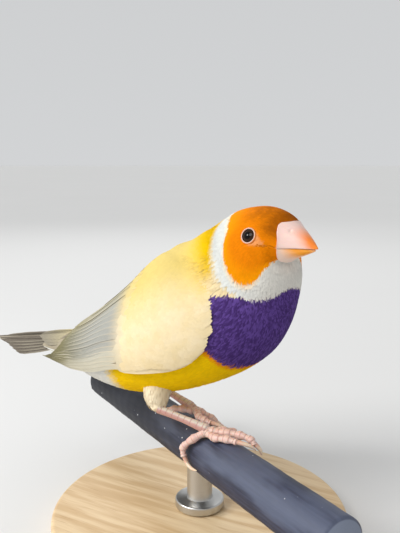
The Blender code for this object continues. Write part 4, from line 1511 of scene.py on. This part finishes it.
# The horn is ivory at the face, then red or gold, and its tip has a tone of its own. Where red or
# gold starts slants with the height on the side and wavers with the streaks.
horn = {
    "streaks": (1.5, 9.0, 9.0),
    "tipPlace": (0.8, 1.0),
    "tipShare": 0.6,
    "relief": (0.00003, 0.4),
    "bill_upper": {
        "ivory": (paint(230, 194, 184), paint(240, 208, 198)),
        "colour": paint(242, 130, 40),
        "tip": paint(246, 142, 30),
        "middle": 0.55,
        "slant": 0.42,
        "waver": 0.12,
        "place": (0.34, 0.86),
    },
    "bill_lower": {
        # ivory paler than the upper half's: painted light against the shade under the upper half
        "ivory": (paint(244, 208, 190), paint(250, 220, 204)),
        "colour": paint(250, 158, 40),
        "tip": paint(246, 176, 130),
        "middle": 0.5,
        "slant": -0.2,
        "waver": 0.1,
        "place": (0.12, 0.6),
    },
}


def makeHorn(name, look):
    finish = Finish(name, Roughness=0.32, Specular_IOR_Level=0.5, Coat_Weight=0.25, Coat_Roughness=0.25,
                    Subsurface_Weight=0.12, Subsurface_Scale=0.0015)
    billSpot = finish.attribute("billSpot")
    along, rise = finish.parts(billSpot)[:2]
    streak = finish.noise(finish.stretch(billSpot, horn["streaks"]), 3.0, 3.0)
    ivory = finish.mix(streak, *look["ivory"])
    start = along + (rise - look["middle"]) * look["slant"] + (streak - 0.5) * look["waver"]
    colour = finish.mix(finish.ease(start, *look["place"]), ivory, look["colour"])
    atTip = finish.ease(along, *horn["tipPlace"]) * horn["tipShare"]
    finish.feed("Base Color", finish.mix(atTip, colour, look["tip"]))
    finish.bump(streak, *horn["relief"])
    return finish.material


def billBase(height):
    topX, topZ, lowX, lowZ = bodyForm["sections"][-1][:4]
    way = (height - lowZ) / (topZ - lowZ)
    return np.array((lowX + (topX - lowX) * way, 0.0, height))


def billOnFace(place, turn, toFace, upper, over):
    # the bill's foot on the face: round over the arc, straight across between its ends
    angle = (1 - 2 * np.clip(turn / billForm["arc"], 0, 1)) * toFace
    face = bodySurface(place, angle if upper else math.pi - angle, over)
    ends = []
    for side in (-1, 1):
        end = side * toFace if upper else math.pi - side * toFace
        ends.append(bodySurface(place, np.full_like(place, end), over))
    sweep = 2 * (turn - billForm["arc"]) / (1 - billForm["arc"]) - 1
    straight = (ends[0] + ends[1]) / 2 + (ends[1] - ends[0]) / 2 * sweep[:, None]
    return np.where((turn > billForm["arc"])[:, None], straight, face)


def makeBillHalf(name, node, edge, tip, bulge, width):
    ring, turn, centre, faces = rolledMesh(64, 72)
    upper = edge > billForm["gape"]
    sign = 1.0 if upper else -1.0
    mouth = np.array((0.0, 0.0, sign * billForm["mouth"]))
    skirt = billForm["skirt"]
    way = np.clip((ring - skirt) / (1 - skirt), 0.0, 1.0)
    dip = np.clip(1 - ring / skirt, 0.0, 1.0)
    foot = billBase(billForm["gape"]) + (tip - billBase(billForm["gape"])) * way[:, None] + mouth
    crown = tip + np.array((0.0, 0.0, sign * billForm["tipDepth"]))
    crest = billBase(edge) + (crown - billBase(edge)) * way[:, None]
    swell = np.array((billForm["bulgeWay"][0], 0.0, billForm["bulgeWay"][1] * sign)) * bulge
    crest = crest + swell * np.sin(math.pi * way)[:, None]
    half = width * ((1 - way) ** billForm["taper"] * (1 - billForm["blunt"]) + billForm["blunt"])
    outer = turn <= billForm["arc"]
    bend = math.pi * np.clip(turn / billForm["arc"], 0, 1)
    lift = np.where(outer, np.sin(bend) ** billForm["roundness"], 0.0)
    points = foot + (crest - foot) * lift[:, None]
    across = np.where(outer, np.cos(bend), -1 + 2 * (turn - billForm["arc"]) / (1 - billForm["arc"]))
    points[:, 1] = half * across
    points[centre, 1] = 0.0
    points = headTurned(points)
    # from its back edge on the face, which dips under the feathers, the horn draws in to its own form
    toFace = billForm["gapeAngle"] if upper else math.pi - billForm["gapeAngle"]
    angle = (1 - 2 * np.clip(turn / billForm["arc"], 0, 1)) * toFace
    angle = angle if upper else math.pi - angle
    place = np.interp(np.degrees(np.abs(halfTurn(angle))), *billEdge) - dip * billForm["dip"]
    face = billOnFace(place, turn, toFace, upper, billForm["over"] - dip * billForm["inFace"])
    crownSide = bodyPoints(place, np.zeros_like(place))
    inner = crownSide * 0.5 + bodyPoints(place, np.full_like(place, math.pi)) * 0.5
    face[centre] = inner[centre]
    close = np.clip(1 - way / billForm["join"], 0.0, 1.0)[:, None] ** 2
    keep = centre & (ring > 0.5)
    points = np.where(keep[:, None], points, points * (1 - close) + face * close)
    points[keep] = headTurned(tip + mouth * 2)
    if upper:
        for side in (-1, 1):
            spot = headTurned(billForm["nostril"] * (1, side, 1))
            away = np.linalg.norm(points - spot, axis=1)
            dent = np.exp(-(away / billForm["nostrilSize"]) ** 4) * billForm["nostrilDepth"]
            points[:, 1] -= side * dent
            points[:, 2] -= dent * billForm["nostrilDrop"]
    mesh = arrayMesh(name, points, faces)
    noteSpots(mesh, billSpot=np.stack([way, lift, across], axis=-1))
    piece = addObject(name, mesh, makeHorn(name + "Horn", horn[node]))
    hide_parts(node)


makeBillHalf("billUpper", "bill_upper", billForm["culmen"], billForm["tip"], billForm["culmenBulge"],
             billForm["halfWidth"])
makeBillHalf("billLower", "bill_lower", billForm["chin"], billForm["tip"] + billForm["lowerTip"],
             billForm["gonysBulge"], billForm["halfWidth"] * billForm["lowerWidth"])


print("eyes")

eyeForm = {
    # the lid's profile: reach from the eye's axis, height over the eyeball's middle
    "lid": [(1.60, 2.00), (1.62, 2.16), (1.70, 2.26), (1.82, 2.29),
            (1.96, 2.24), (2.06, 2.12), (2.12, 1.85), (1.65, 1.75)],
    "long": 1.1,             # how much longer than high the eye's opening is
    "ball": (48, 32),
    "steps": 64,
    "beads": 26,
    "beadHeight": 0.025,
    # colours from the middle outward, and the reach from the eye's axis where they change
    "pupil": (0.004, 0.003, 0.003),
    "irisFrom": (0.85, 1.0),
    "iris": (0.030, 0.014, 0.007),
    "rimFrom": (1.45, 1.6),
    "rim": (0.008, 0.005, 0.004),
    "lidDark": (0.03, 0.015, 0.01),
    "skinFrom": (1.62, 1.72),
    "skin": paint(206, 170, 156),
    "orangeFrom": (1.86, 2.02),
    "orange": paint(222, 134, 50),
}


def noteAxis(mesh, name):
    # reach from the eye's axis and height along it
    places = np.array([vert.co[:] for vert in mesh.vertices])
    reach = np.hypot(places[:, 0], places[:, 1])
    noteSpots(mesh, **{name: np.stack([reach, places[:, 2], np.zeros(len(places))], axis=-1)})


def makeEye(side, sign):
    place = np.array([eyeSpot["place"]])
    angle = np.array([sign * eyeSpot["angle"]])
    out = Vector(bodyNormals(place, angle)[0])
    centre = Vector(bodyPoints(place, angle)[0]) - out * eyeSpot["depth"]
    turn = out.to_track_quat('Z', 'Y').to_matrix().to_4x4()
    into = toModel @ Matrix.Translation(centre) @ turn @ Matrix.Scale(eyeForm["long"], 4, Vector((1, 0, 0)))

    bm = bmesh.new()
    columns, rows = eyeForm["ball"]
    bmesh.ops.create_uvsphere(bm, u_segments=columns, v_segments=rows, radius=eyeSpot["radius"])
    mesh = meshOf("eyeBall_" + side, bm)
    noteAxis(mesh, "eyeSpot")
    mesh.transform(into)
    finish = Finish("eyeDark_" + side, Roughness=0.03, Specular_IOR_Level=0.12)
    reach = finish.parts(finish.attribute("eyeSpot"))[0]
    iris = finish.mix(finish.ease(reach, *eyeForm["irisFrom"]), eyeForm["pupil"], eyeForm["iris"])
    rim = finish.ease(reach, *eyeForm["rimFrom"])
    finish.feed("Base Color", finish.mix(rim, iris, eyeForm["rim"]))
    ball = addObject("eyeBall_" + side, mesh, finish.material)
    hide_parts("eye_" + side)

    bm = spun(eyeForm["lid"], eyeForm["steps"], closed=True)
    for vert in bm.verts:
        around = math.atan2(vert.co.y, vert.co.x)
        vert.co.z += eyeForm["beadHeight"] * math.cos(eyeForm["beads"] * around)
    bmesh.ops.recalc_face_normals(bm, faces=bm.faces)
    mesh = meshOf("lid_" + side, bm)
    noteAxis(mesh, "lidSpot")
    mesh.transform(into)
    finish = Finish("lidSkin_" + side, Roughness=0.5, Subsurface_Weight=0.2, Subsurface_Scale=0.001)
    reach = finish.parts(finish.attribute("lidSpot"))[0]
    tone = finish.mix(finish.ease(reach, *eyeForm["skinFrom"]), eyeForm["lidDark"], eyeForm["skin"])
    tone = finish.mix(finish.ease(reach, *eyeForm["orangeFrom"]), tone, eyeForm["orange"])
    finish.feed("Base Color", tone)
    addObject("lid_" + side, mesh, finish.material)


for side, sign in birdSides.items():
    makeEye(side, sign)


print("feet")

toes = {
    # along the perch, angle round it from the top towards the far side, height over it
    "right": {
        "hind": [(0.0, -24, 1.7), (-1.6, -46, 1.7), (-3.9, -70, 1.7), (-3.3, -88, 1.35)],
        "inner": [(1.2, -10, 1.7), (2.4, 8, 1.6), (2.6, 32, 1.7), (2.2, 54, 1.2)],
        "middle": [(1.6, -12, 1.8), (5.0, 3, 1.9), (8.4, 17, 2.4), (11.4, 26, 2.5), (12.6, 31, 1.7)],
        "outer": [(0.8, -20, 1.6), (4.2, -20, 1.5), (7.8, -8, 1.6), (10.4, 2, 1.4)],
    },
    "left": {
        "hind": [(-14.4, 8, 1.7), (-16.6, -4, 1.7), (-18.8, -17, 1.6), (-20.4, -27, 1.3)],
        "inner": [(-12.4, 14, 1.6), (-9.4, 4, 1.6), (-6.4, 4, 1.6), (-4.6, 12, 1.2)],
        "middle": [(-12.4, 22, 1.8), (-10.2, 42, 1.7), (-8.4, 66, 1.7), (-7.6, 88, 1.4)],
        "outer": [(-13.6, 30, 1.6), (-13.2, 52, 1.6), (-12.6, 76, 1.5), (-12.2, 98, 1.2)],
    },
}
claws = {
    "right": {
        "hind": [(-2.6, -100, 1.05), (-0.4, -106, 1.0), (2.2, -103, 0.85)],
        "inner": [(2.4, 72, 1.0), (3.2, 92, 1.0), (4.4, 108, 0.8)],
        "middle": [(13.2, 38, 1.7), (13.6, 46, 1.3), (13.6, 54, 0.75)],
        "outer": [(11.8, 10, 1.4), (13.0, 22, 1.2), (13.6, 34, 0.75)],
    },
    "left": {
        "hind": [(-21.8, -32, 1.2), (-23.2, -36, 1.1), (-24.6, -38, 0.75)],
        "inner": [(-3.2, 22, 1.3), (-2.2, 34, 1.1), (-1.6, 46, 0.75)],
        "middle": [(-7.2, 106, 1.1), (-7.0, 122, 1.0), (-7.2, 138, 0.8)],
        "outer": [(-12.2, 114, 1.1), (-12.6, 130, 1.0), (-13.2, 145, 0.8)],
    },
}
footForm = {
    "tarsusRadii": [1.3, 1.2, 1.1, 1.15, 1.35, 1.5],
    "tarsusLift": np.array((0.0, 0.0, 0.2)),
    "tarsusStart": 0.4,
    "tarsusPlates": 9,
    "tarsusFlat": 0.9,
    "tarsusPlate": 0.35,               # its plates' edges beside the toes' scutes
    "toeRadius": 1.05,
    "toeRoot": 1.12,
    "toeTaper": 0.34,
    "knuckle": 0.15,
    "plate": 0.13,           # how far each scute's lower edge stands over the next one
    "plateLength": 1.15,
    "plateCurve": 1.6,
    "upper": (0.35, 0.5),              # how far round the plates reach, and how softly they end
    "grain": 0.03,
    "grains": (3, 5),                  # for each plate, and round the toe
    "clawRadius": 0.56,
    "clawTaper": [1.2, 1.08, 0.92, 0.66, 0.2],
    "clawRoot": 0.9,
    # rings and sides of the limbs
    "tarsusMesh": (150, 36),
    "toeMesh": (110, 28),
    "clawMesh": (36, 20),
    "endRound": 0.06,                  # share of a limb that its round end takes
    "endShrink": 0.75,
}
perchMiddle = np.array(perch["middle"])


def onPerch(along, angle, height):
    turn = math.radians(angle)
    out = perchSide * math.sin(turn) + Vector((0, 0, math.cos(turn)))
    return np.array(perch["middle"] + perchAlong * along + out * (perch["radius"] + height))


def perchOut(points):
    # the way out from the perch's middle line at each point
    away = points - perchMiddle
    along = np.array(perchAlong)
    return unit(away - along * np.sum(away * along, axis=-1, keepdims=True))


def limbMesh(kind, path, radii, mesh, plates=1, flat=1.0):
    # a limb: tarsus with plates at its front, toe with scutes above and fine grain below, or claw
    path = np.asarray(path, float)
    ring, turn, centre, faces = rolledMesh(*mesh)
    middle = blendRows(path, ring * (len(path) - 1))
    ahead = aheadOn(path, ring)
    upright = np.broadcast_to(np.array((0.0, 0.0, 1.0)), middle.shape)
    up = upright if kind == "tarsus" else perchOut(middle)
    side = unit(np.cross(ahead, up))
    top = np.cross(side, ahead)
    angle = turn * 2 * math.pi
    step = ring * plates
    over, soft = footForm["upper"]
    upper = smoothStep((np.cos(angle) + over) / soft)
    scute = (step - np.floor(step)) ** footForm["plateCurve"] * footForm["plate"] * upper
    rows, columns = footForm["grains"]
    grain = footForm["grain"] * np.sin(step * 2 * math.pi * rows) * np.sin(angle * columns) * (1 - upper)
    fromRound = np.clip((ring - 1 + footForm["endRound"]) / footForm["endRound"], 0, 1)
    ends = 1 - footForm["endShrink"] * (1 - np.sqrt(np.clip(1 - fromRound ** 2, 0.0, 1.0)))
    reach = blendRows(np.asarray(radii, float), ring * (len(radii) - 1))
    if kind == "tarsus":
        reach = (reach + scute * footForm["tarsusPlate"]) * ends
        step = -step
    elif kind == "toe":
        reach = (reach + scute + grain) * ends
    ray = top * np.cos(angle)[:, None] * flat + side * np.sin(angle)[:, None]
    points = middle + ray * reach[:, None]
    points[centre] = middle[centre]
    return points, faces, np.stack([step, turn, ring], axis=-1)


def joinLimbs(name, limbs, finish):
    mesh = arrayMesh(name, *joined([limb[:2] for limb in limbs]))
    noteSpots(mesh, limbSpot=np.concatenate([limb[2] for limb in limbs]))
    return addObject(name, mesh, finish)


footPaint = {
    "skin": (paint(208, 164, 152), paint(228, 203, 191)),
    "shank": (paint(190, 146, 136), paint(218, 206, 196)),
    "shankStripe": (-0.5, 0.6),
    "stripeStart": 0.6,
    "shankFrom": (-0.02, 0.0),
    "seam": paint(170, 106, 98),
    "seamEdge": (0.38, 0.5),
    "seamSide": (0.16, 0.3),
    "seamShare": 0.55,
    "fine": (900.0, 3.0),
    "relief": (0.00006, 0.5),
}
clawPaint = {
    "grain": (1.0, 8.0, 2.0),
    "horn": (paint(222, 190, 160), paint(240, 220, 196)),
    "root": paint(206, 160, 140),
    "rootPlace": (0.1, 0.5),
}


def makeFootFinish():
    finish = Finish("footSkin", Roughness=0.42, Specular_IOR_Level=0.45, Subsurface_Weight=0.2,
                    Subsurface_Scale=0.0012)
    step, turn = finish.parts(finish.attribute("limbSpot"))[:2]
    tone = finish.noise(finish.objectSpot(), *footPaint["fine"])
    colour = finish.mix(tone, *footPaint["skin"])
    # the tarsus counts its plates below zero
    stripe = (turn * (4 * math.pi) + footPaint["stripeStart"] + tone).sine()
    shank = finish.mix(finish.ease(stripe, *footPaint["shankStripe"]), *footPaint["shank"])
    colour = finish.mix(finish.ease(step, *footPaint["shankFrom"]), shank, colour)
    seam = finish.ease(abs((step - step.step("FLOOR", step)) - 0.5), *footPaint["seamEdge"])
    upper = finish.ease(abs(turn - 0.5), *footPaint["seamSide"])
    finish.feed("Base Color", finish.mix(seam * upper * footPaint["seamShare"], colour, footPaint["seam"]))
    finish.bump(tone, *footPaint["relief"])
    return finish.material


def makeClawFinish():
    finish = Finish("clawHorn", Roughness=0.3, Specular_IOR_Level=0.5, Subsurface_Weight=0.2,
                    Subsurface_Scale=0.0008)
    limbSpot = finish.attribute("limbSpot")
    along = finish.parts(limbSpot)[2]
    tone = finish.noise(finish.stretch(limbSpot, clawPaint["grain"]), 3.0)
    colour = finish.mix(tone, *clawPaint["horn"])
    root = 1 - finish.ease(along, *clawPaint["rootPlace"])
    finish.feed("Base Color", finish.mix(root, colour, clawPaint["root"]))
    return finish.material


footFinish = makeFootFinish()
clawFinish = makeClawFinish()


def smoothPath(points, count):
    rows = np.asarray(points, float)
    return blendRows(rows, np.linspace(0, len(rows) - 1, count))


def makeFoot(side):
    heel = np.array(legForm["heel"][side])
    foot = np.array(legForm["foot"][side])
    start = heel + unit(foot - heel) * footForm["tarsusStart"]
    bend = (heel + foot) / 2 + footForm["tarsusLift"]
    shank = smoothPath([start, bend, foot + footForm["tarsusLift"]], 6)
    limbs = [limbMesh("tarsus", shank, footForm["tarsusRadii"], footForm["tarsusMesh"],
                      footForm["tarsusPlates"], footForm["tarsusFlat"])]
    for toe, spots in toes[side].items():
        knuckles = [onPerch(*spot) for spot in spots]
        path = smoothPath([foot + footForm["tarsusLift"] * 0.5] + knuckles, 2 * len(spots) + 1)
        length = np.linalg.norm(np.diff(path, axis=0), axis=1).sum()
        share = np.linspace(0, 1, 40)
        bulge = footForm["knuckle"] * np.cos(2 * math.pi * share * len(spots))
        radii = footForm["toeRadius"] * (footForm["toeRoot"] - footForm["toeTaper"] * share) + bulge
        plates = round(length / footForm["plateLength"])
        limbs.append(limbMesh("toe", path, radii, footForm["toeMesh"], plates))
        nail = [onPerch(*spot) for spot in claws[side][toe]]
        root = path[-1] + unit(path[-2] - path[-1]) * footForm["clawRoot"]
        widths = footForm["clawRadius"] * np.array(footForm["clawTaper"])
        limb = limbMesh("claw", smoothPath([root] + nail, 12), widths, footForm["clawMesh"])
        claw = joinLimbs("claw" + side.capitalize() + toe.capitalize(), [limb], clawFinish)
        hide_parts("claw_%s_%s" % (side, toe))
    piece = joinLimbs("footScales_" + side, limbs, footFinish)
    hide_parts("foot_" + side)


for side in birdSides:
    makeFoot(side)


print("perch and stand")


perchLook = {
    "rings": 220,
    "under": 0.06,                     # how far the surface lies inside the perch's own radius
    "ridge": (0.22, math.radians(246), 0.07),       # a seam's height, turn and width
    "waver": (0.035, 0.02),            # how far the long and the short unevenness reach
    "streaks": (0.05, 1.2, 1.2),
    "streakNoise": (1.4, 5.0),
    "clouds": (0.25, 1.0, 1.0),
    "cloudNoise": (0.16, 3.0),
    "slate": (paint(42, 45, 61), paint(62, 66, 86)),
    "slateStreak": (0.35, 0.7),
    "worn": paint(100, 108, 130),
    "wornFrom": (0.48, 0.72),
    "paleRise": (0.0, 6.0),
    "paleTop": 0.18,
    "wornShare": 0.55,
    # painted shadow of the bird over the back of the perch
    "shade": paint(26, 27, 34),
    "shadePlace": (-40, 12),
    "shadeShare": 0.88,
    "speck": paint(208, 212, 216),
    "cells": 0.42,
    "rareNoise": 0.5,
    "speckSize": (0.10, 0.07),
    "speckRare": (0.60, 0.64),
    "end": paint(120, 128, 146),
    "endEdge": (0.3, 0.05),            # where the cut's colour starts and is full, before the end
    "roughness": (0.42, 0.25),
    "relief": (0.00008, 0.5),
}


def makePerchFinish():
    finish = Finish("perchSlate", Roughness=0.5, Specular_IOR_Level=0.4)
    spot = finish.attribute("perchSpot")
    place, rise = finish.parts(spot)[::2]
    streak = finish.noise(finish.stretch(spot, perchLook["streaks"]), *perchLook["streakNoise"])
    cloud = finish.noise(finish.stretch(spot, perchLook["clouds"]), *perchLook["cloudNoise"])
    colour = finish.mix(finish.ease(streak, *perchLook["slateStreak"]), *perchLook["slate"])
    # the pale patches gather towards the top
    top = finish.ease(rise, *perchLook["paleRise"]) * perchLook["paleTop"]
    worn = finish.ease(cloud + top, *perchLook["wornFrom"])
    colour = finish.mix(worn * perchLook["wornShare"], colour, perchLook["worn"])
    # painted shadow of the bird: darker towards the perch's back end
    shade = 1 - finish.ease(place, *perchLook["shadePlace"])
    colour = finish.mix(shade * perchLook["shadeShare"], colour, perchLook["shade"])
    cells = finish.add("TexVoronoi", None, {"Vector": spot, "Scale": perchLook["cells"]})
    rare = finish.ease(finish.noise(spot, perchLook["rareNoise"]), *perchLook["speckRare"])
    specks = finish.ease(cells, *perchLook["speckSize"]) * rare
    colour = finish.mix(specks, colour, perchLook["speck"])
    half = (perch["front"] - perch["back"]) / 2
    fromMiddle = abs(place - (perch["front"] + perch["back"]) / 2)
    atEnd = finish.ease(fromMiddle, *(half - edge for edge in perchLook["endEdge"]))
    finish.feed("Base Color", finish.mix(atEnd, colour, perchLook["end"]))
    finish.feed("Roughness", perchLook["roughness"][0] + streak * perchLook["roughness"][1])
    finish.bump(streak + specks * 0.5, *perchLook["relief"])
    return finish.material


def makePerch():
    ring, turn, centre, faces = rolledMesh(perchLook["rings"], perch["sides"])
    length = perch["front"] - perch["back"]
    along = perch["back"] + length * ring
    angle = turn * 2 * math.pi
    bevel = perch["bevel"]
    into = np.maximum(bevel - np.minimum(ring, 1 - ring) * length, 0)
    rounding = bevel - np.sqrt(np.maximum(bevel ** 2 - into ** 2, 0))
    height, middle, width = perchLook["ridge"]
    ridge = height * np.exp(-((angle - middle) / width) ** 2)
    long, short = perchLook["waver"]
    waver = long * np.sin(along * 0.35 + 1.0) * np.sin(angle * 2) + short * np.sin(along * 1.3 + angle * 3)
    reach = np.where(centre, 0.0, perch["radius"] - perchLook["under"] + waver + ridge - rounding)
    sideways, up = np.sin(angle) * reach, np.cos(angle) * reach
    points = perchMiddle + np.array(perchAlong) * along[:, None] + np.array(perchSide) * sideways[:, None]
    points[:, 2] += up
    mesh = arrayMesh("perchRod", points, faces)
    noteSpots(mesh, perchSpot=np.stack([along, sideways, up], axis=-1))
    piece = addObject("perchRod", mesh, makePerchFinish())
    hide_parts("perch")


def turned(name, profile, steps, finish):
    # a turned piece over the stand's middle, of reach and height from bottom to top
    bm = spun(profile, steps)
    bmesh.ops.remove_doubles(bm, verts=bm.verts, dist=0.0005)
    bmesh.ops.recalc_face_normals(bm, faces=bm.faces)
    mesh = meshOf(name, bm)
    mesh.transform(toModel @ Matrix.Translation(standFoot))
    piece = addObject(name, mesh, finish)
    mesh.set_sharp_from_angle(angle=standLook["crease"])
    return piece


def rounded(reach, low, high, bevel, steps=5):
    # the outer edge of a disc with a soft lower and upper arris
    turns = [math.pi / 2 * step / steps for step in range(steps + 1)]
    flat = reach - bevel
    lower = [(flat + bevel * math.sin(turn), low + bevel - bevel * math.cos(turn)) for turn in turns]
    upper = [(flat + bevel * math.cos(turn), high - bevel + bevel * math.sin(turn)) for turn in turns]
    return lower + upper


standLook = {
    "crease": math.radians(35),
    "baseSteps": 144,
    "baseBevel": 1.2,
    "rodSteps": 72,
    "collarBevel": 0.5,
    # the rod's fillet over its collar, as reach over the rod's and height over the collar's
    "fillet": [(0.6, 0.0), (0.15, 0.25), (0.0, 0.8)],
    "timber": (paint(206, 174, 130), paint(228, 202, 162)),
    "timberRings": (0.36, 0.66),
    "warp": (0.006, 0.006, 0.006),
    "ringScale": (18.0, 260.0, 18.0),
    "poreScale": (120.0, 2200.0, 800.0),
    "pore": paint(176, 138, 96),
    "poreFrom": (0.6, 0.75),
    "timberRough": (0.45, 0.2),
    "timberRelief": (0.00005, 0.4),
    "steel": ((0.50, 0.50, 0.49), (0.62, 0.62, 0.61)),
    "brush": (300.0, 300.0, 9000.0),
    "steelRough": (0.24, 0.2),
    "steelRelief": (0.00002, 0.4),
}


def makeTimber():
    finish = Finish("paleTimber", Roughness=0.5, Specular_IOR_Level=0.4, Coat_Weight=0.15,
                    Coat_Roughness=0.3)
    spot = finish.objectSpot()
    warp = {0: finish.noise(spot, 18.0, 3.0, 1), 1: standLook["warp"], 2: spot}
    bent = finish.add("VectorMath", {"operation": "MULTIPLY_ADD"}, warp)
    rings = finish.noise(finish.stretch(bent, standLook["ringScale"]), 1.6, 4.0)
    pores = finish.noise(finish.stretch(spot, standLook["poreScale"]), 1.0, 2.0)
    colour = finish.mix(finish.ease(rings, *standLook["timberRings"]), *standLook["timber"])
    colour = finish.mix(finish.ease(pores, *standLook["poreFrom"]) * 0.5, colour, standLook["pore"])
    finish.feed("Base Color", colour)
    finish.feed("Roughness", standLook["timberRough"][0] + pores * standLook["timberRough"][1])
    finish.bump(pores, *standLook["timberRelief"])
    return finish.material


def makeSteel():
    finish = Finish("brushedSteel", Metallic=1.0, Roughness=0.32)
    brushed = finish.noise(finish.stretch(finish.objectSpot(), standLook["brush"]), 1.0, 3.0)
    finish.feed("Base Color", finish.mix(brushed, *standLook["steel"]))
    finish.feed("Roughness", standLook["steelRough"][0] + brushed * standLook["steelRough"][1])
    finish.bump(brushed, *standLook["steelRelief"])
    return finish.material


def makeStand():
    height = stand["baseHeight"]
    disc = rounded(stand["baseRadius"], 0.0, height, standLook["baseBevel"])
    base = turned("baseDisc", [(0.0, 0.0)] + disc + [(0.0, height)], standLook["baseSteps"], makeTimber())
    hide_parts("stand_base")

    foot = height + stand["gap"]
    shoulder = foot + stand["collarHeight"]
    top = height + stand["rodHeight"] + stand["rodSeat"]
    radius = stand["rodRadius"]
    profile = [(0.0, foot)] + rounded(stand["collarRadius"], foot, shoulder, standLook["collarBevel"])
    profile += [(radius + reach, shoulder + rise) for reach, rise in standLook["fillet"]]
    profile += [(radius, top - 0.01), (radius * 0.5, top), (0.0, top)]
    rod = turned("rodSteel", profile, standLook["rodSteps"], makeSteel())
    # its top follows the perch's underside
    middle = toModel @ perch["middle"]
    reach = perch["radius"] + stand["rodClear"]
    for vert in rod.data.vertices:
        away = (vert.co - middle).dot(perchSide) * 1000
        under = middle.z * 1000 - math.sqrt(max(reach ** 2 - away ** 2, 0.0))
        vert.co.z = min(vert.co.z, under * 0.001)
    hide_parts("stand_rod")


makePerch()
makeStand()
